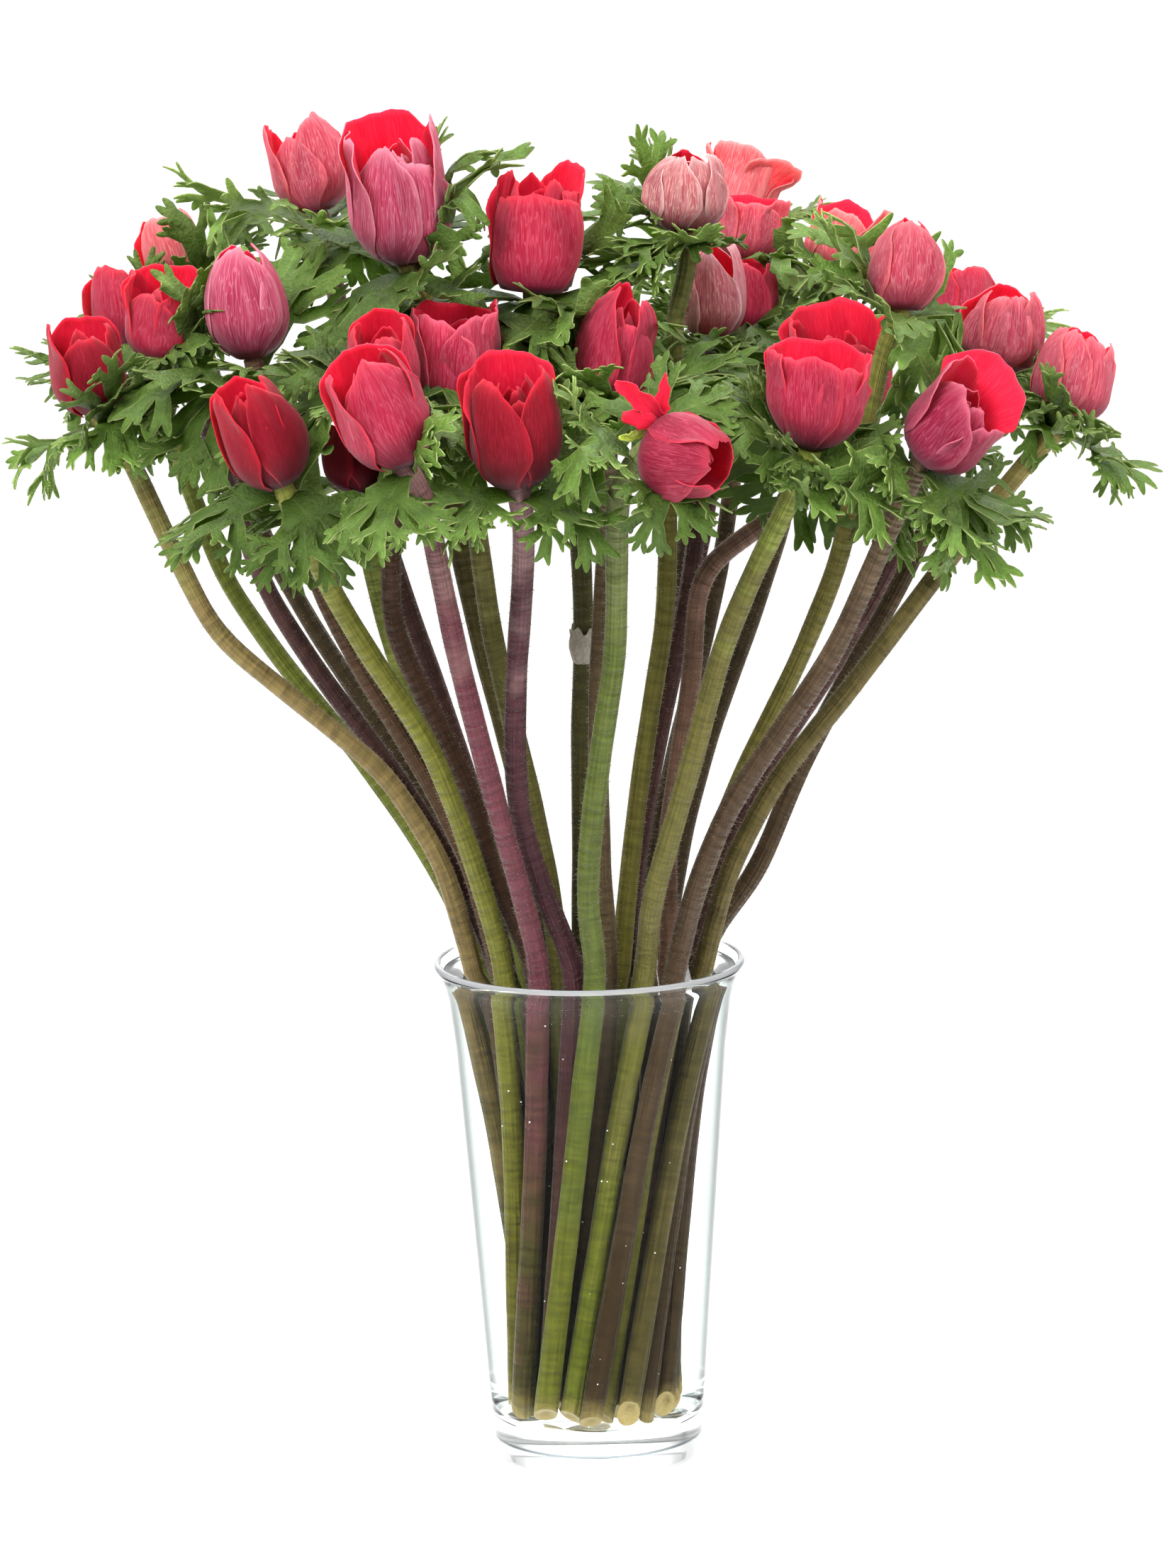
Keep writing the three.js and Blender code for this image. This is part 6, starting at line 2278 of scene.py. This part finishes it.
@dataclass
class Crowd:
    """What stands among the leaves: the blooms and the stems.

    Attributes:
        flowers: all the flowers.
        stalks: their stems.
        margin: how far leaves are kept off them.
        depth: how far before a bloom a leaf may stand and still hide it, from and to.
    """

    flowers: Sequence[Flower]
    stalks: Sequence[Stalk]
    margin: float = 0.7
    depth: tuple[float, float] = (-4.0, 120.0)

    def __post_init__(self) -> None:
        """Notes each bloom's outline as it is seen from the front."""
        self.eye = np.array(Studio.camera_at) / MM
        up = np.array([flower.axis for flower in self.flowers]) * np.array([1.0, 0.0, 1.0])
        steep = np.linalg.norm(up, axis=1)
        self.up = up / steep[:, None]
        self.half = np.array([flower.wide * 0.49 for flower in self.flowers])
        tall = [flower.long for flower in self.flowers] * steep
        self.tall = np.maximum(tall, self.half * 1.7)
        self.base = np.array([flower.bloom for flower in self.flowers], float) + self.up * 2.0

    def veils(self, point: Vector, owner: Flower) -> bool:
        """Finds out whether a leaf hides a bloom that the photograph shows uncovered.

        Args:
            point: a point of the leaf.
            owner: the leaf's flower.

        Returns:
            True where it stands before such a bloom.
        """
        at = np.array(point)
        near = (self.base[:, 1] - self.eye[1]) / (at[1] - self.eye[1])
        seen = (at - self.eye) * near[:, None] + self.eye - self.base
        high = (seen * self.up).sum(1) / self.tall * 2 - 1
        aside = (seen[:, 0] * self.up[:, 2] - seen[:, 2] * self.up[:, 0]) / self.half
        ahead = self.base[:, 1] - at[1]
        over = (ahead > self.depth[0]) & (ahead < self.depth[1])
        over &= np.abs(high) ** 2.5 + np.abs(aside) ** 2.5 < 1
        over[[number - 1 for number in COVERED.get(owner.number, ())]] = False
        return bool(over.any())

    def cleared(self, points: np.ndarray, owner: Flower) -> np.ndarray:
        """Moves points of a leaf out of every bloom, and out of the stems of other flowers.

        Args:
            points: the points.
            owner: the leaf's flower.

        Returns:
            The points where they are clear.
        """
        for flower in self.flowers:
            points = self.off_bloom(points, flower)
        for flower, stalk in zip(self.flowers, self.stalks):
            if flower is not owner:
                points = self.off_stalk(points, stalk)
        return points

    def off_bloom(self, points: np.ndarray, flower: Flower) -> np.ndarray:
        """Moves points out of a bloom, square to its axis.

        Args:
            points: the points.
            flower: the bloom's flower.

        Returns:
            The points where they are clear of it.
        """
        turned = flower.turned
        local = (points - np.array(flower.bloom)) @ turned
        share = local[:, 2] / flower.long
        reach = Bloom(flower).reach(np.clip(share, 0, 1), flower.open)
        reach = flower.wide / 2 * reach * 1.06 + self.margin
        out = np.hypot(local[:, 0], local[:, 1])
        inside = (share > 0.0) & (share < 1.0) & (out < reach)
        push = np.where(inside, reach / np.maximum(out, 1e-3), 1.0)
        local[:, :2] *= push[:, None]
        return local @ turned.T + np.array(flower.bloom)

    def off_stalk(self, points: np.ndarray, stalk: Stalk) -> np.ndarray:
        """Moves points off a stem.

        Args:
            points: the points.
            stalk: the stem.

        Returns:
            The points where they are clear of it.
        """
        line = stalk.line[len(stalk.line) // 2 :]
        low, high = line.min(0) - 8, line.max(0) + 8
        near = ((points > low) & (points < high)).all(1)
        if not near.any():
            return points
        apart = points[near][:, None] - line[None]
        gap = np.linalg.norm(apart, axis=2)
        nearest = gap.argmin(1)
        rows = np.arange(len(nearest))
        distance = gap[rows, nearest]
        away = apart[rows, nearest] / np.maximum(distance, 1e-3)[:, None]
        need = np.maximum(stalk.flower.thick + self.margin - distance, 0)
        moved = points.copy()
        moved[near] += away * need[:, None]
        return moved


# ---- studio ----


@dataclass
class Studio:
    """A pale floor, soft light from a bright wall behind and paler light in front, and a camera.

    Attributes:
        camera_at: the camera's place, in metres.
        pitch: how far it looks down, in degrees.
        roll: how far it is rolled, in degrees.
        lens: its focal length in millimetres, on a 36 mm frame.
        board: radius of the round white board that is the floor. Past it the glass shows the
            studio's dim sides along its edges, as it does in the photograph.
        board_rings: rings of the board.
        board_sides: corners of a ring.
        lamps: its lamps: each one's name, place, size and power.
        aim: what the lamps face, in metres.
        dim: brightness of its sides.
        seen: brightness of what the camera sees of it.
    """

    camera_at: Spot = (0.00075, -1.7, 0.541)
    pitch: float = 9.97
    roll: float = 1.1
    lens: float = 113.27
    board: float = 80.0
    board_rings: int = 8
    board_sides: int = 96
    lamps: tuple[tuple[str, Spot, float, float], ...] = (
        ("key", (-1.4, -2.0, 1.9), 1.6, 100.0),
        ("fill", (1.8, -1.6, 1.0), 1.6, 46.0),
        ("back_left", (-1.5, 1.3, 1.1), 1.4, 60.0),
        ("back_right", (1.4, 1.4, 1.0), 1.4, 52.0),
    )
    aim: Spot = (0.0, 0.0, 0.3)
    dim: float = 0.3
    seen: float = 1.1

    def floor(self, finishes: Finishes) -> Piece:
        """Makes the floor.

        Args:
            finishes: the finishes.

        Returns:
            The floor.
        """
        draft = MeshDraft()
        angles, low = round_angles(self.board_sides), np.full(self.board_sides, -0.2)
        radii = np.linspace(self.board / self.board_rings, self.board, self.board_rings)
        rings = [np.stack([r * np.cos(angles), r * np.sin(angles), low], 1) for r in radii]
        faces = grid_faces(self.board_rings, self.board_sides, closed=True)
        faces += fan_faces(self.board_rings * self.board_sides, 0, self.board_sides)
        draft.add(np.concatenate(rings + [np.array([[0, 0, -0.2]])]), faces)
        floor = draft.piece("floor", [finishes.floor])
        floor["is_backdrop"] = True
        return floor

    def camera(self) -> Piece:
        """Makes the camera and the scene look through it.

        Returns:
            The camera.
        """
        data = bpy.data.cameras.new("camera")
        data.lens = self.lens
        data.sensor_width = 36.0
        data.clip_start, data.clip_end = 0.05, 50.0
        camera = bpy.data.objects.new("camera", data)
        pitch = Quaternion((1, 0, 0), math.radians(90 - self.pitch))
        roll = Quaternion((0, 0, 1), math.radians(-self.roll))
        camera.rotation_mode = "QUATERNION"
        camera.rotation_quaternion = pitch @ roll
        camera.location = self.camera_at
        bpy.context.scene.collection.objects.link(camera)
        bpy.context.scene.camera = camera
        return camera

    def world(self) -> None:
        """Lights the scene: brightest from behind the bouquet, dim at its sides, soft in front."""
        world = bpy.data.worlds.new("studio")
        world.use_nodes = True
        tree = world.node_tree
        tree.nodes.clear()
        way = add_node(tree, "TexCoord", None, "Generated")
        x = add_node(tree, "SeparateXYZ", {0: way}, "X")
        y, z = x.node.outputs["Y"], x.node.outputs["Z"]
        aside = add_node(tree, "Math", {0: x}, operation="ABSOLUTE")
        # Each glow: the way that it depends on, where it starts and is full, and its brightness.
        glows = (
            (aside, 0.56, 0.12, 2.1), (y, 0.1, 0.4, 1.0), (y, 0.0, -0.7, 0.3),
            (z, 0.3, 0.95, 1.6), (z, -0.4, -0.85, 2.0),
        )
        band, behind, front, above, below = (
            add_node(
                tree, "MapRange", {0: along, 1: start, 2: full, 3: 0.0, 4: bright},
                interpolation_type="SMOOTHSTEP",
            )
            for along, start, full, bright in glows
        )
        light = add_node(tree, "Math", {0: band, 1: behind}, operation="MULTIPLY")
        for more in (self.dim, front, above, below):
            light = add_node(tree, "Math", {0: light, 1: more}, operation="ADD")
        ray = add_node(tree, "LightPath", None, "Is Camera Ray")
        strength = add_node(tree, "Mix", {0: ray, 2: light, 3: self.seen}, data_type="FLOAT")
        glow = add_node(tree, "Background", {0: WHITE, 1: strength})
        add_node(tree, "OutputWorld", {0: glow})
        bpy.context.scene.world = world

    def lamp(self, name: str, at: Spot, size: float, power: float) -> None:
        """Makes a soft square lamp that faces the bouquet.

        Args:
            name: its name.
            at: its place, in metres.
            size: its side, in metres.
            power: its power, in watts.
        """
        data = bpy.data.lights.new(name, "AREA")
        data.size = size
        data.energy = power
        lamp = bpy.data.objects.new(name, data)
        lamp.visible_glossy = False
        lamp.visible_transmission = False
        lamp.location = at
        lamp.rotation_mode = "QUATERNION"
        lamp.rotation_quaternion = (Vector(self.aim) - Vector(at)).to_track_quat("-Z", "Y")
        bpy.context.scene.collection.objects.link(lamp)

    def build(self, finishes: Finishes) -> None:
        """Sets the whole studio up.

        Args:
            finishes: the finishes.
        """
        self.camera()
        self.floor(finishes)
        self.world()
        for lamp in self.lamps:
            self.lamp(*lamp)
        bpy.context.scene.view_settings.view_transform = "Standard"


def corners() -> list[list[float]]:
    """The shown object's lowest and highest corner, as plain lists."""
    return [list(corner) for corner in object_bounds()]


def main() -> None:
    """Builds the bouquet and its studio round the CAD frame."""
    logging.basicConfig(level=logging.INFO, format="%(message)s")
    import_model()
    finishes = Finishes()
    Studio().build(finishes)
    vase = GlassVase()
    pieces = [vase.dress(finishes), Water(vase).dress(finishes)]
    flowers = flower_list()
    stalks = [Stalk(flower) for flower in flowers]
    crowd = Crowd(flowers, stalks)
    for flower, stalk in zip(flowers, stalks):
        pieces += stalk.dress(finishes)
        pieces += Bloom(flower).dress(finishes)
        pieces.append(LeafWhorl(flower, stalk, crowd).dress(finishes))
    pieces += TornPetals().dress(finishes)
    pieces.append(PaperySheath(stalks[7]).dress(finishes))
    pieces.append(AirBubbles(stalks).dress(finishes))
    for piece in pieces:
        LOG.info("%s: %d faces", piece.name, len(piece.data.polygons))


if __name__ == "__main__":
    main()
